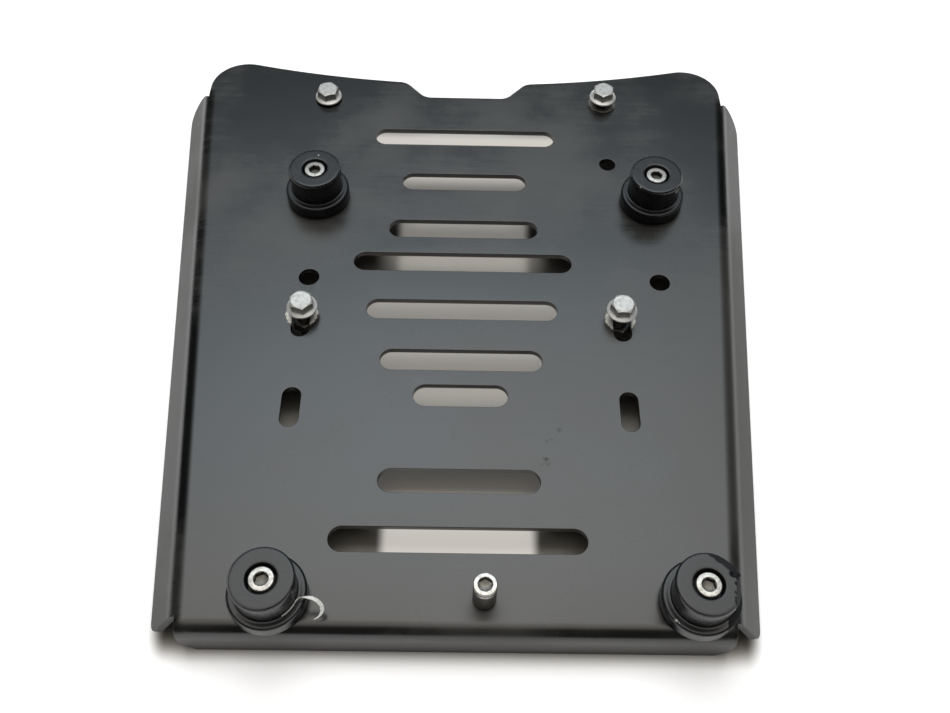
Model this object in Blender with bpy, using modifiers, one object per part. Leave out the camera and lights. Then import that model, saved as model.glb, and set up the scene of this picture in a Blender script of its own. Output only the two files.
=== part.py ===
"""Top case mounting plate for a motorcycle: a folded sheet with rubber feet and loose fasteners.

Units are metres, +Z is up, +Y points to the far edge with the two rounded ears, and the origin
lies under the middle of the plate, level with the lower edge of its near flange.
"""

import math

import bmesh
import bpy
from mathutils import Matrix, Vector

# Folded sheet
SHEET_THICKNESS = 0.0030
PLATE_LENGTH = 0.3250
EAR_SPAN = 0.2812
EAR_RADIUS = 0.0192
FAR_ARC_RADIUS = 0.5300
NOTCH_DEPTH = 0.0109
NOTCH_FLOOR_WIDTH = 0.0446
NOTCH_SIDE_ANGLE = math.radians(45.0)
NOTCH_FILLET = 0.0080
EAR_LEDGE = 0.0037
FOOT_TO_SIDE_BEND = 0.01075
NEAR_BEND_RADIUS = 0.0035
NEAR_FLANGE_HEIGHT = 0.0195
NEAR_FLANGE_LEDGE = 0.00345
NEAR_FLANGE_CHAMFER = 0.0056
SIDE_BEND_RADIUS = 0.0060
SIDE_BEND_ANGLE = math.radians(50.0)
SIDE_FLANGE_WIDTH = 0.0142
SIDE_CORNER_NEAR = 0.0045
SIDE_CORNER_FAR = 0.0125
SIDE_FLANGE_LEAD = 0.0032
SIDE_FLANGE_FLARE = 0.0026
EAR_NOTCH_FROM_FAR = 0.0255
NEAR_NOTCH_WIDTH = 0.0008
NEAR_NOTCH_GAP = 0.0007
FADE_LENGTH = 0.0080
EDGE_BEVEL = 0.0003

# Slots across the deck, from the far edge to the near one: the step to each from the one
# before it, or from the far edge, and its length
CROSS_SLOT_WIDTH = 0.0111
CROSS_SLOTS = (
    (0.0554, 0.0946),
    (0.0321, 0.0633),
    (0.0318, 0.0738),
    (0.0212, 0.1057),
    (0.0286, 0.0899),
    (0.0284, 0.0741),
    (0.0189, 0.0423),
    (0.0421, 0.0688),
    (0.0266, 0.1059),
)
CROSS_SLOT_WEB = 0.0100

# Places along the two sides of the deck, each stepped from the one before it, from the far edge
FAR_EDGE_TO_BOLTS = 0.0269
BOLTS_TO_SPARE_HOLES = 0.0463
SPARE_HOLES_TO_FEET = 0.0259
FEET_TO_SIDE_HOLES = 0.0519
SIDE_HOLES_TO_LONG_SLOTS = 0.0247
LONG_SLOT_PITCH = 0.0477
NEAR_FEET_FROM_NEAR = 0.0150
SPIGOT_FROM_NEAR = 0.0152

# Slots along the deck, and round holes
BOLT_SPACING = 0.1498
LONG_SLOT_WIDTH = 0.0083
LONG_SLOT_LENGTH = 0.0200
BOLT_HOLE_DIAMETER = 0.0083
SIDE_HOLE_DIAMETER = 0.0096
SCREW_HOLE_DIAMETER = 0.0065

# Fasteners, all M6
THREAD_DIAMETER = 0.0059
ACROSS_FLATS = 0.0100
BOLT_FLANGE_DIAMETER = 0.0142
BOLT_FLANGE_THICKNESS = 0.0011
BOLT_FLANGE_SLOPE = math.radians(28.0)
BOLT_HEAD_HEIGHT = 0.0060
BOLT_LENGTH = 0.0200
MID_BOLTS_SLIDE = 0.0030
NUT_HEIGHT = 0.0050
NUT_BORE = 0.0065
SOCKET_HEAD_DIAMETER = 0.0100
SOCKET_HEAD_HEIGHT = 0.0060
SOCKET_ACROSS_FLATS = 0.0050
SOCKET_DEPTH = 0.0030
FOOT_SCREW_LENGTH = 0.0250
WASHER_DIAMETER = 0.0119
WASHER_THICKNESS = 0.0016
HEAD_CHAMFER = 0.0005

# Each flange bolt: row, side, play to the right in its hole or slot, stand of its head over the
# deck, turn of its hexagon
BOLT_STANDS = (
    ("far", -1, 0.0, 0.0006, math.radians(-11.0)),
    ("far", 1, 0.0, 0.0036, math.radians(-6.0)),
    ("mid", -1, 0.0008, 0.0046, math.radians(12.0)),
    ("mid", 1, -0.0006, 0.0056, math.radians(30.0)),
)

# Rubber feet, set off to the right of the plate's middle
FEET_OFFSET = 0.0107
FEET_SPACING = 0.1688
FOOT_HEIGHT = 0.0200
FOOT_FLANGE_DIAMETER = 0.0314
FOOT_FLANGE_HEIGHT = 0.0067
FOOT_BODY_DIAMETER = 0.0258
FOOT_WAIST_DIAMETER = 0.0247
FOOT_TOP_DIAMETER = 0.0236
FOOT_EDGE_RADIUS = 0.0011
FOOT_COUNTERBORE_DIAMETER = 0.0123
FOOT_BORE_DIAMETER = 0.0066
SCREW_RECESS = 0.0007

# Locating spigot at the near edge, on the feet's middle line
SPIGOT_DIAMETER = 0.0094
SLEEVE_HEIGHT = 0.0125
SPIGOT_HEAD_HEIGHT = 0.0032
SPIGOT_SOCKET_DEPTH = 0.0022
SPIGOT_SCREW_LENGTH = 0.0250

# Torn strip of moulding flash, caught between the body and the flange of the near left foot
STRIP_WIDTH = 0.0012
STRIP_THICKNESS = 0.00035

CLEARANCE = 0.0003
FOOT_STEPS = 24
FASTENER_STEPS = 20
HOLE_STEPS = 16
BEND_STEPS = 5
FADE_STEPS = 4
FLAT_ANGLE = math.radians(0.3)
SCORE_TOLERANCE = 0.00002

DECK_TOP = NEAR_FLANGE_HEIGHT
UNDERSIDE = DECK_TOP - SHEET_THICKNESS
NEAR_FACE_Y = -PLATE_LENGTH / 2.0
HANDS = {-1: "left", 1: "right"}

# Widths of the flat deck at its two ends: the ears stand out past it at the far end, and the
# outermost near foot stands clear of the bend at the near end
DECK_WIDTH_FAR = EAR_SPAN - 2.0 * EAR_LEDGE
DECK_WIDTH_NEAR = FEET_SPACING + 2.0 * (FEET_OFFSET + FOOT_TO_SIDE_BEND)
NEAR_FLANGE_WIDTH = DECK_WIDTH_NEAR + 2.0 * NEAR_FLANGE_LEDGE

FAR_BOLTS_FROM_NEAR = PLATE_LENGTH - FAR_EDGE_TO_BOLTS
SPARE_HOLES_FROM_NEAR = FAR_BOLTS_FROM_NEAR - BOLTS_TO_SPARE_HOLES
FAR_FEET_FROM_NEAR = SPARE_HOLES_FROM_NEAR - SPARE_HOLES_TO_FEET
SIDE_HOLES_FROM_NEAR = FAR_FEET_FROM_NEAR - FEET_TO_SIDE_HOLES
FAR_LONG_SLOTS_FROM_NEAR = SIDE_HOLES_FROM_NEAR - SIDE_HOLES_TO_LONG_SLOTS
NEAR_LONG_SLOTS_FROM_NEAR = FAR_LONG_SLOTS_FROM_NEAR - LONG_SLOT_PITCH
MID_BOLTS_FROM_NEAR = FAR_LONG_SLOTS_FROM_NEAR + MID_BOLTS_SLIDE


def from_near(distance):
    """Y of a place given by its distance from the near flange's face."""
    return NEAR_FACE_Y + distance


def clear_scene():
    for obj in list(bpy.data.objects):
        bpy.data.objects.remove(obj)


def new_collection(name):
    collection = bpy.data.collections.new(name)
    bpy.context.scene.collection.children.link(collection)
    return collection


def make_material(name, colour, roughness, metallic):
    material = bpy.data.materials.new(name)
    material.use_nodes = True
    shader = material.node_tree.nodes["Principled BSDF"]
    shader.inputs["Base Color"].default_value = (*colour, 1.0)
    shader.inputs["Roughness"].default_value = roughness
    shader.inputs["Metallic"].default_value = metallic
    return material


def link_object(name, data, collection):
    obj = bpy.data.objects.new(name, data)
    collection.objects.link(obj)
    return obj


def shade_round(mesh):
    mesh.shade_smooth()
    mesh.set_sharp_from_angle(angle=math.radians(35.0))


def baked_mesh(obj, name):
    """The mesh that the object's modifiers make, welded, as a new mesh; the object is removed."""
    graph = bpy.context.evaluated_depsgraph_get()
    mesh = bpy.data.meshes.new_from_object(obj.evaluated_get(graph), depsgraph=graph)
    mesh.name = name
    mesh.transform(obj.matrix_world)
    bm = bmesh.new()
    bm.from_mesh(mesh)
    bmesh.ops.remove_doubles(bm, verts=bm.verts, dist=0.00001)
    bmesh.ops.recalc_face_normals(bm, faces=bm.faces)
    bm.to_mesh(mesh)
    bm.free()
    bpy.data.objects.remove(obj)
    return mesh


def place(name, mesh, location, turn, material, collection):
    """One object of a shared mesh, with its own material slot."""
    obj = link_object(name, mesh, collection)
    obj.location = location
    obj.rotation_euler = (0.0, 0.0, turn)
    if not mesh.materials:
        mesh.materials.append(None)
    obj.material_slots[0].link = "OBJECT"
    obj.material_slots[0].material = material
    return obj


def arc_points(centre, radius, start, end, steps):
    """Points along an arc, both ends included, with angles in radians."""
    points = []
    for i in range(steps + 1):
        angle = start + (end - start) * i / steps
        points.append(
            Vector((centre[0] + radius * math.cos(angle), centre[1] + radius * math.sin(angle)))
        )
    return points


def fillet_points(before, corner, after, radius, steps):
    """The arc that rounds a corner between two straight runs."""
    towards = (before - corner).normalized()
    away = (after - corner).normalized()
    half = math.acos(max(-1.0, min(1.0, towards.dot(away)))) / 2.0
    centre = corner + (towards + away).normalized() * (radius / math.sin(half))
    first = corner + towards * (radius / math.tan(half)) - centre
    last = corner + away * (radius / math.tan(half)) - centre
    start = math.atan2(first.y, first.x)
    sweep = math.remainder(math.atan2(last.y, last.x) - start, 2.0 * math.pi)
    return arc_points(centre, radius, start, start + sweep, steps)


def stadium(x, y, length, width, along_y=False):
    """A slot's outline: two half rounds joined by straight sides."""
    radius = width / 2.0
    reach = length / 2.0 - radius
    half_steps = HOLE_STEPS // 2
    points = arc_points((reach, 0.0), radius, -math.pi / 2.0, math.pi / 2.0, half_steps)
    points += arc_points((-reach, 0.0), radius, math.pi / 2.0, 1.5 * math.pi, half_steps)
    if along_y:
        points = [Vector((-point.y, point.x)) for point in points]
    return [point + Vector((x, y)) for point in points]


def circle(x, y, diameter):
    return arc_points((x, y), diameter / 2.0, 0.0, 2.0 * math.pi, HOLE_STEPS)[:-1]


class Bend:
    """One fold of the sheet about a straight line, away from the deck's top face."""

    def __init__(self, origin, outward, inner_radius, angle):
        self.origin = origin
        self.outward = outward
        self.inner_radius = inner_radius
        self.angle = angle
        self.neutral_radius = inner_radius + SHEET_THICKNESS / 2.0
        self.arc_length = self.neutral_radius * angle

    def reach(self, point):
        """How far a point of the blank lies past the line where the bend starts."""
        return (point - self.origin).dot(self.outward)

    def fold(self, vertex):
        """Moves a vertex of the blank, whose top face is at z = 0, to its folded place."""
        flat = Vector((vertex.x, vertex.y))
        reach = self.reach(flat)
        if reach <= 0.0:
            return vertex
        angle = min(reach / self.neutral_radius, self.angle)
        rest = max(reach - self.arc_length, 0.0)
        outer_radius = self.inner_radius + SHEET_THICKNESS
        radius = outer_radius + vertex.z
        out = radius * math.sin(angle) + rest * math.cos(self.angle)
        drop = outer_radius - radius * math.cos(angle) + rest * math.sin(self.angle)
        start = flat - self.outward * reach + self.outward * out
        return Vector((start.x, start.y, -drop))


def near_bend():
    outer_radius = NEAR_BEND_RADIUS + SHEET_THICKNESS
    origin = Vector((0.0, NEAR_FACE_Y + outer_radius))
    return Bend(origin, Vector((0.0, -1.0)), NEAR_BEND_RADIUS, math.pi / 2.0)


def side_bend(side):
    """The fold along one side, from the ear's notch to the start of the near bend."""
    far = Vector((side * DECK_WIDTH_FAR / 2.0, from_near(PLATE_LENGTH - EAR_NOTCH_FROM_FAR)))
    near = Vector((side * DECK_WIDTH_NEAR / 2.0, near_bend().origin.y))
    along = (near - far).normalized()
    outward = Vector((-along.y, along.x)) * side
    return Bend(far, outward, SIDE_BEND_RADIUS, SIDE_BEND_ANGLE)


def notch_y():
    """Y where the round end of a near corner's notch has its centre."""
    return near_bend().origin.y + NEAR_NOTCH_GAP


def near_notch_points():
    """The round end of the notch that parts the right side flange from the near flange."""
    radius = NEAR_NOTCH_WIDTH / 2.0
    return arc_points((NEAR_FLANGE_WIDTH / 2.0 + radius, notch_y()), radius, math.pi, 0.0, 4)


def side_flange_points(bend):
    """The right side flange's free edge in the blank, from its near end to its far end."""
    along = Vector((bend.outward.y, -bend.outward.x))
    flange_reach = bend.arc_length + SIDE_FLANGE_WIDTH
    start = near_notch_points()[-1]
    corner = start + bend.outward * (flange_reach - bend.reach(start)) + along * SIDE_FLANGE_FLARE
    far_line = bend.origin - along * SIDE_FLANGE_LEAD
    far_corner = far_line + bend.outward * flange_reach
    end = Vector((EAR_SPAN / 2.0, bend.origin.y))
    lead = far_line + bend.outward * bend.arc_length
    points = fillet_points(start, corner, far_corner, SIDE_CORNER_NEAR, 5)
    points += fillet_points(corner, far_corner, lead, SIDE_CORNER_FAR, 8)
    points += fillet_points(far_corner, lead, end, SIDE_BEND_RADIUS / 2.0, 3)
    points.append(end)
    return points


def ear_points():
    """The right ear's round, from its outer side over the top to the long concave arc."""
    centre = Vector((EAR_SPAN / 2.0 - EAR_RADIUS, from_near(PLATE_LENGTH - EAR_RADIUS)))
    joined = FAR_ARC_RADIUS + EAR_RADIUS
    arc_centre = Vector((0.0, centre.y + math.sqrt(joined**2 - centre.x**2)))
    meet = (arc_centre - centre).angle_signed(Vector((1.0, 0.0)))
    ear = arc_points(centre, EAR_RADIUS, 0.0, meet, 12)
    return ear, arc_centre


def far_arc_points(arc_centre):
    """The long arc and the right half of the notch, from the ear to the middle."""
    floor_y = arc_centre.y - FAR_ARC_RADIUS - NOTCH_DEPTH
    floor_x = NOTCH_FLOOR_WIDTH / 2.0
    top_x = floor_x + NOTCH_DEPTH / math.tan(NOTCH_SIDE_ANGLE)
    start = math.asin((EAR_SPAN / 2.0 - EAR_RADIUS) / (FAR_ARC_RADIUS + EAR_RADIUS))
    end = math.asin(top_x / FAR_ARC_RADIUS)
    arc = arc_points(arc_centre, FAR_ARC_RADIUS, start - math.pi / 2.0, end - math.pi / 2.0, 8)
    floor = Vector((floor_x, floor_y))
    points = arc[1:-1]
    points += fillet_points(arc[-2], arc[-1], floor, NOTCH_FILLET, 4)
    points += fillet_points(arc[-1], floor, Vector((0.0, floor_y)), NOTCH_FILLET, 4)
    return points


def blank_outline():
    """The flat blank's outer edge, with the right half written out and the left mirrored."""
    bend = side_bend(1)
    near = near_bend()
    outer_radius = NEAR_BEND_RADIUS + SHEET_THICKNESS
    bottom_y = near.origin.y - near.arc_length - (NEAR_FLANGE_HEIGHT - outer_radius)
    half_width = NEAR_FLANGE_WIDTH / 2.0
    right = [
        Vector((half_width - NEAR_FLANGE_CHAMFER, bottom_y)),
        Vector((half_width, bottom_y + NEAR_FLANGE_CHAMFER)),
    ]
    right += near_notch_points()
    right += side_flange_points(bend)
    ear, arc_centre = ear_points()
    right += ear
    right += far_arc_points(arc_centre)
    left = [Vector((-point.x, point.y)) for point in reversed(right)]
    return right + left


def bolt_x(side):
    return side * BOLT_SPACING / 2.0


def foot_x(side):
    return FEET_OFFSET + side * FEET_SPACING / 2.0


def cross_slots():
    """Outlines of the rows of slots, down to the last one that leaves a web before the spigot."""
    outlines = []
    distance = PLATE_LENGTH
    for step, length in CROSS_SLOTS:
        distance -= step
        web = distance - CROSS_SLOT_WIDTH / 2.0 - SPIGOT_FROM_NEAR - SPIGOT_DIAMETER / 2.0
        if web >= CROSS_SLOT_WEB:
            outlines.append(stadium(0.0, from_near(distance), length, CROSS_SLOT_WIDTH))
    return outlines


def blank_openings():
    """Outlines of every slot and hole in the deck."""
    openings = cross_slots()
    for side in HANDS:
        x = bolt_x(side)
        for distance in (FAR_LONG_SLOTS_FROM_NEAR, NEAR_LONG_SLOTS_FROM_NEAR):
            y = from_near(distance)
            openings.append(stadium(x, y, LONG_SLOT_LENGTH, LONG_SLOT_WIDTH, along_y=True))
        for distance in (FAR_BOLTS_FROM_NEAR, SPARE_HOLES_FROM_NEAR):
            openings.append(circle(x, from_near(distance), BOLT_HOLE_DIAMETER))
        x = foot_x(side)
        openings.append(circle(x, from_near(SIDE_HOLES_FROM_NEAR), SIDE_HOLE_DIAMETER))
        for distance in (FAR_FEET_FROM_NEAR, NEAR_FEET_FROM_NEAR):
            openings.append(circle(x, from_near(distance), SCREW_HOLE_DIAMETER))
    openings.append(circle(FEET_OFFSET, from_near(SPIGOT_FROM_NEAR), SCREW_HOLE_DIAMETER))
    return openings


def flat_blank(collection):
    """The cut blank as a filled 2D curve, turned into a welded mesh with its top face at z = 0."""
    curve = bpy.data.curves.new("blank", "CURVE")
    curve.dimensions = "2D"
    curve.fill_mode = "BOTH"
    curve.extrude = SHEET_THICKNESS / 2.0 - EDGE_BEVEL
    curve.bevel_depth = EDGE_BEVEL
    curve.bevel_resolution = 0
    curve.offset = -EDGE_BEVEL
    for outline in [blank_outline()] + blank_openings():
        spline = curve.splines.new("POLY")
        spline.points.add(len(outline) - 1)
        for point, place_at in zip(spline.points, outline):
            point.co = (place_at.x, place_at.y, 0.0, 1.0)
        spline.use_cyclic_u = True
    blank = link_object("blank", curve, collection)
    blank.location.z = -SHEET_THICKNESS / 2.0
    bpy.context.view_layer.update()
    return baked_mesh(blank, "plate")


def merge_flat_faces(bm):
    bmesh.ops.dissolve_limit(bm, angle_limit=FLAT_ANGLE, verts=bm.verts, edges=bm.edges)


def score(bm, place_at, normal):
    """Cuts the blank's faces along one straight line, square to the given direction."""
    bmesh.ops.bisect_plane(
        bm,
        geom=bm.verts[:] + bm.edges[:] + bm.faces[:],
        dist=SCORE_TOLERANCE,
        plane_co=(place_at.x, place_at.y, 0.0),
        plane_no=(normal.x, normal.y, 0.0),
    )


def side_fold_share(vertex, bend):
    """How much of a side's fold a vertex takes.

    The flange takes all of it. Past the notches at its two ends the fold fades out, into the
    ear at the far end and into the near bend at the near end.
    """
    if vertex.y > bend.origin.y:
        beside = abs(vertex.x) > EAR_SPAN / 2.0 + EDGE_BEVEL
        past = vertex.y - bend.origin.y
    else:
        beside = abs(vertex.x) > (NEAR_FLANGE_WIDTH + NEAR_NOTCH_WIDTH) / 2.0
        past = notch_y() - vertex.y
    if beside or past <= 0.0:
        return 1.0
    fade = min(past / FADE_LENGTH, 1.0)
    return 1.0 - fade * fade * (3.0 - 2.0 * fade)


def fold_blank(mesh):
    """Folds the two side flanges and the near flange down from the flat blank."""
    near = near_bend()
    sides = {side: side_bend(side) for side in HANDS}
    bm = bmesh.new()
    bm.from_mesh(mesh)
    merge_flat_faces(bm)
    for bend in (near, *sides.values()):
        for i in range(BEND_STEPS + 1):
            reach = bend.arc_length * i / BEND_STEPS
            score(bm, bend.origin + bend.outward * reach, bend.outward)
    for i in range(FADE_STEPS + 1):
        up = Vector((0.0, 1.0))
        score(bm, sides[1].origin + up * (FADE_LENGTH * i / FADE_STEPS), up)
    for vertex in bm.verts:
        bend = sides[1 if vertex.co.x > 0.0 else -1]
        share = side_fold_share(vertex.co, bend)
        on_flange = abs(vertex.co.x) > (NEAR_FLANGE_WIDTH + NEAR_NOTCH_WIDTH) / 2.0
        vertex.co = vertex.co.lerp(bend.fold(vertex.co), share)
        if not on_flange:
            vertex.co = near.fold(vertex.co)
    merge_flat_faces(bm)
    bmesh.ops.triangulate(bm, faces=bm.faces, ngon_method="BEAUTY")
    bmesh.ops.recalc_face_normals(bm, faces=bm.faces)
    bm.to_mesh(mesh)
    bm.free()


def make_plate(collection, material):
    mesh = flat_blank(collection)
    fold_blank(mesh)
    shade_round(mesh)
    plate = link_object("plate", mesh, collection)
    plate.location.z = DECK_TOP
    mesh.materials.append(material)
    return plate


def turned_mesh(name, profile, closed, collection, steps=FASTENER_STEPS):
    """A turned body from its profile, given as radius and height down its outer side."""
    mesh = bpy.data.meshes.new(name)
    bm = bmesh.new()
    points = [bm.verts.new((radius, 0.0, height)) for radius, height in profile]
    pairs = list(zip(points, points[1:]))
    if closed:
        pairs.append((points[-1], points[0]))
    for first, second in pairs:
        bm.edges.new((first, second))
    bm.to_mesh(mesh)
    bm.free()
    obj = link_object(name, mesh, collection)
    screw = obj.modifiers.new("turn", "SCREW")
    screw.steps = steps
    screw.render_steps = steps
    screw.use_merge_vertices = True
    screw.merge_threshold = 0.00001
    return baked_mesh(obj, name)


def hexagon_cutter(name, across_flats, bottom, top, collection):
    """A hexagonal prism with two corners on the Y axis."""
    radius = across_flats / math.sqrt(3.0)
    bm = bmesh.new()
    bmesh.ops.create_cone(
        bm,
        cap_ends=True,
        segments=6,
        radius1=radius,
        radius2=radius,
        depth=top - bottom,
        matrix=Matrix.Translation((0.0, 0.0, (top + bottom) / 2.0)),
    )
    mesh = bpy.data.meshes.new(name)
    bm.to_mesh(mesh)
    bm.free()
    cutter = link_object(name, mesh, collection)
    cutter.hide_render = True
    cutter.display_type = "WIRE"
    return cutter


def combined(mesh, other, operation, collection):
    """The Boolean of a mesh with a cutter object, as a new mesh of the same name."""
    name = mesh.name
    obj = link_object(name, mesh, collection)
    modifier = obj.modifiers.new(operation.lower(), "BOOLEAN")
    modifier.operation = operation
    modifier.object = other
    bpy.context.view_layer.update()
    return baked_mesh(obj, name)


def socket_screw_mesh(name, head_diameter, head_height, length, socket_depth, collection, cutters):
    """A cap screw whose head sits on z = 0, with a hexagon socket in its top."""
    head = head_diameter / 2.0
    shank = THREAD_DIAMETER / 2.0
    profile = [
        (0.0, head_height),
        (head - HEAD_CHAMFER, head_height),
        (head, head_height - HEAD_CHAMFER),
        (head, 0.0),
        (shank, 0.0),
        (shank, -length + HEAD_CHAMFER),
        (shank - HEAD_CHAMFER, -length),
        (0.0, -length),
    ]
    mesh = turned_mesh(name, profile, False, collection)
    bottom = head_height - socket_depth
    top = head_height + CLEARANCE
    socket = hexagon_cutter(name + "_socket", SOCKET_ACROSS_FLATS, bottom, top, cutters)
    mesh = combined(mesh, socket, "DIFFERENCE", collection)
    shade_round(mesh)
    return mesh


def nut_mesh(collection, cutters):
    """A plain hexagon nut under z = 0, with both faces chamfered."""
    corner = ACROSS_FLATS / math.sqrt(3.0)
    face = ACROSS_FLATS / 2.0 - HEAD_CHAMFER / 2.0
    drop = (corner - face) * math.tan(math.radians(30.0))
    outer = corner + CLEARANCE
    outer_drop = (outer - face) * math.tan(math.radians(30.0))
    profile = [
        (NUT_BORE / 2.0, 0.0),
        (face, 0.0),
        (outer, -outer_drop),
        (outer, -NUT_HEIGHT + outer_drop),
        (face, -NUT_HEIGHT),
        (NUT_BORE / 2.0, -NUT_HEIGHT),
    ]
    mesh = turned_mesh("hex_nut", profile, True, collection)
    hexagon = hexagon_cutter("nut_hexagon", ACROSS_FLATS, -NUT_HEIGHT - drop, drop, cutters)
    mesh = combined(mesh, hexagon, "INTERSECT", collection)
    shade_round(mesh)
    return mesh


def flange_bolt_mesh(collection, cutters):
    """A hexagon bolt whose round flange sits on z = 0."""
    corner = ACROSS_FLATS / math.sqrt(3.0)
    face = ACROSS_FLATS / 2.0 - HEAD_CHAMFER / 2.0
    outer = corner + CLEARANCE
    drop = (outer - face) * math.tan(math.radians(30.0))
    cap = [
        (0.0, BOLT_HEAD_HEIGHT),
        (face, BOLT_HEAD_HEIGHT),
        (outer, BOLT_HEAD_HEIGHT - drop),
        (outer, BOLT_FLANGE_THICKNESS),
        (0.0, BOLT_FLANGE_THICKNESS),
    ]
    head = turned_mesh("flange_bolt_head", cap, False, collection)
    top = BOLT_HEAD_HEIGHT + CLEARANCE
    hexagon = hexagon_cutter("bolt_hexagon", ACROSS_FLATS, BOLT_FLANGE_THICKNESS, top, cutters)
    head = combined(head, hexagon, "INTERSECT", collection)
    head_object = link_object("bolt_head", head, cutters)
    head_object.hide_render = True
    head_object.display_type = "WIRE"
    shank = THREAD_DIAMETER / 2.0
    flange = BOLT_FLANGE_DIAMETER / 2.0
    cone_top = BOLT_FLANGE_THICKNESS + (flange - face) * math.tan(BOLT_FLANGE_SLOPE)
    body = [
        (0.0, cone_top),
        (face, cone_top),
        (flange - BOLT_FLANGE_THICKNESS / 3.0, BOLT_FLANGE_THICKNESS),
        (flange, BOLT_FLANGE_THICKNESS * 0.6),
        (flange, BOLT_FLANGE_THICKNESS / 4.0),
        (flange - BOLT_FLANGE_THICKNESS / 4.0, 0.0),
        (shank, 0.0),
        (shank, -BOLT_LENGTH + HEAD_CHAMFER),
        (shank - HEAD_CHAMFER, -BOLT_LENGTH),
        (0.0, -BOLT_LENGTH),
    ]
    mesh = turned_mesh("flange_bolt", body, False, collection)
    mesh = combined(mesh, head_object, "UNION", collection)
    shade_round(mesh)
    return mesh


def foot_profile():
    """Half section of a rubber foot: flange, waist fillet, body and counterbored top."""
    flange = FOOT_FLANGE_DIAMETER / 2.0
    body = FOOT_BODY_DIAMETER / 2.0
    waist = FOOT_WAIST_DIAMETER / 2.0
    top = FOOT_TOP_DIAMETER / 2.0
    edge = FOOT_EDGE_RADIUS
    counterbore = FOOT_COUNTERBORE_DIAMETER / 2.0
    bore = FOOT_BORE_DIAMETER / 2.0
    seat = FOOT_HEIGHT - SCREW_RECESS - SOCKET_HEAD_HEIGHT - WASHER_THICKNESS - 2.0 * CLEARANCE
    return [
        (counterbore, FOOT_HEIGHT - CLEARANCE),
        (counterbore + CLEARANCE, FOOT_HEIGHT),
        (top, FOOT_HEIGHT),
        (body - edge * 0.35, FOOT_HEIGHT - edge * 0.45),
        (body, FOOT_HEIGHT - edge * 1.5),
        (waist, FOOT_FLANGE_HEIGHT + edge),
        (waist + edge * 0.3, FOOT_FLANGE_HEIGHT + edge * 0.3),
        (waist + edge, FOOT_FLANGE_HEIGHT),
        (flange - edge, FOOT_FLANGE_HEIGHT),
        (flange - edge * 0.3, FOOT_FLANGE_HEIGHT - edge * 0.3),
        (flange, FOOT_FLANGE_HEIGHT - edge),
        (flange, edge * 0.6),
        (flange - edge * 0.6, 0.0),
        (bore, 0.0),
        (bore, seat),
        (counterbore, seat),
    ]


def washer_mesh(collection):
    inner = SCREW_HOLE_DIAMETER / 2.0
    outer = WASHER_DIAMETER / 2.0
    profile = [
        (inner, WASHER_THICKNESS),
        (outer, WASHER_THICKNESS),
        (outer, 0.0),
        (inner, 0.0),
    ]
    mesh = turned_mesh("foot_washer", profile, True, collection)
    shade_round(mesh)
    return mesh


def sleeve_mesh(collection):
    inner = SCREW_HOLE_DIAMETER / 2.0
    outer = SPIGOT_DIAMETER / 2.0
    profile = [
        (inner, SLEEVE_HEIGHT),
        (outer - CLEARANCE, SLEEVE_HEIGHT),
        (outer, SLEEVE_HEIGHT - CLEARANCE),
        (outer, CLEARANCE),
        (outer - CLEARANCE, 0.0),
        (inner, 0.0),
    ]
    mesh = turned_mesh("spigot_sleeve", profile, True, collection)
    shade_round(mesh)
    return mesh


def strip_points():
    """The strip's middle line: round the foot's waist, then out and down in a curl.

    Each point is its turn about the foot's axis, its distance from it and its height over the
    deck.
    """
    waist = FOOT_WAIST_DIAMETER / 2.0 + CLEARANCE + STRIP_THICKNESS
    lift = FOOT_FLANGE_HEIGHT + FOOT_EDGE_RADIUS + STRIP_WIDTH / 2.0
    hug = [(math.radians(turn), waist, lift) for turn in range(-55, -15, 7)]
    out = [
        (-13.6, 0.0012, 0.0004),
        (-12.4, 0.0028, 0.0010),
        (-11.2, 0.0050, 0.0008),
        (-11.4, 0.0068, 0.0001),
        (-12.6, 0.0084, -0.0011),
        (-15.0, 0.0097, -0.0024),
        (-19.0, 0.0102, -0.0036),
        (-23.5, 0.0097, -0.0044),
        (-28.0, 0.0085, -0.0048),
    ]
    return hug + [(math.radians(turn), waist + away, lift + rise) for turn, away, rise in out]


def make_strip(collection, material):
    curve = bpy.data.curves.new("peeled_strip", "CURVE")
    curve.dimensions = "3D"
    curve.twist_mode = "Z_UP"
    curve.fill_mode = "FULL"
    curve.extrude = STRIP_WIDTH / 2.0 - STRIP_THICKNESS / 2.0
    curve.bevel_depth = STRIP_THICKNESS / 2.0
    curve.bevel_resolution = 0
    curve.use_fill_caps = True
    points = strip_points()
    spline = curve.splines.new("POLY")
    spline.points.add(len(points) - 1)
    for point, (turn, radius, height) in zip(spline.points, points):
        point.co = (radius * math.cos(turn), radius * math.sin(turn), height, 1.0)
    source = link_object("peeled_strip", curve, collection)
    bpy.context.view_layer.update()
    mesh = baked_mesh(source, "peeled_strip")
    shade_round(mesh)
    location = (foot_x(-1), from_near(NEAR_FEET_FROM_NEAR), DECK_TOP + CLEARANCE)
    return place("peeled_strip", mesh, location, 0.0, material, collection)


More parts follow.
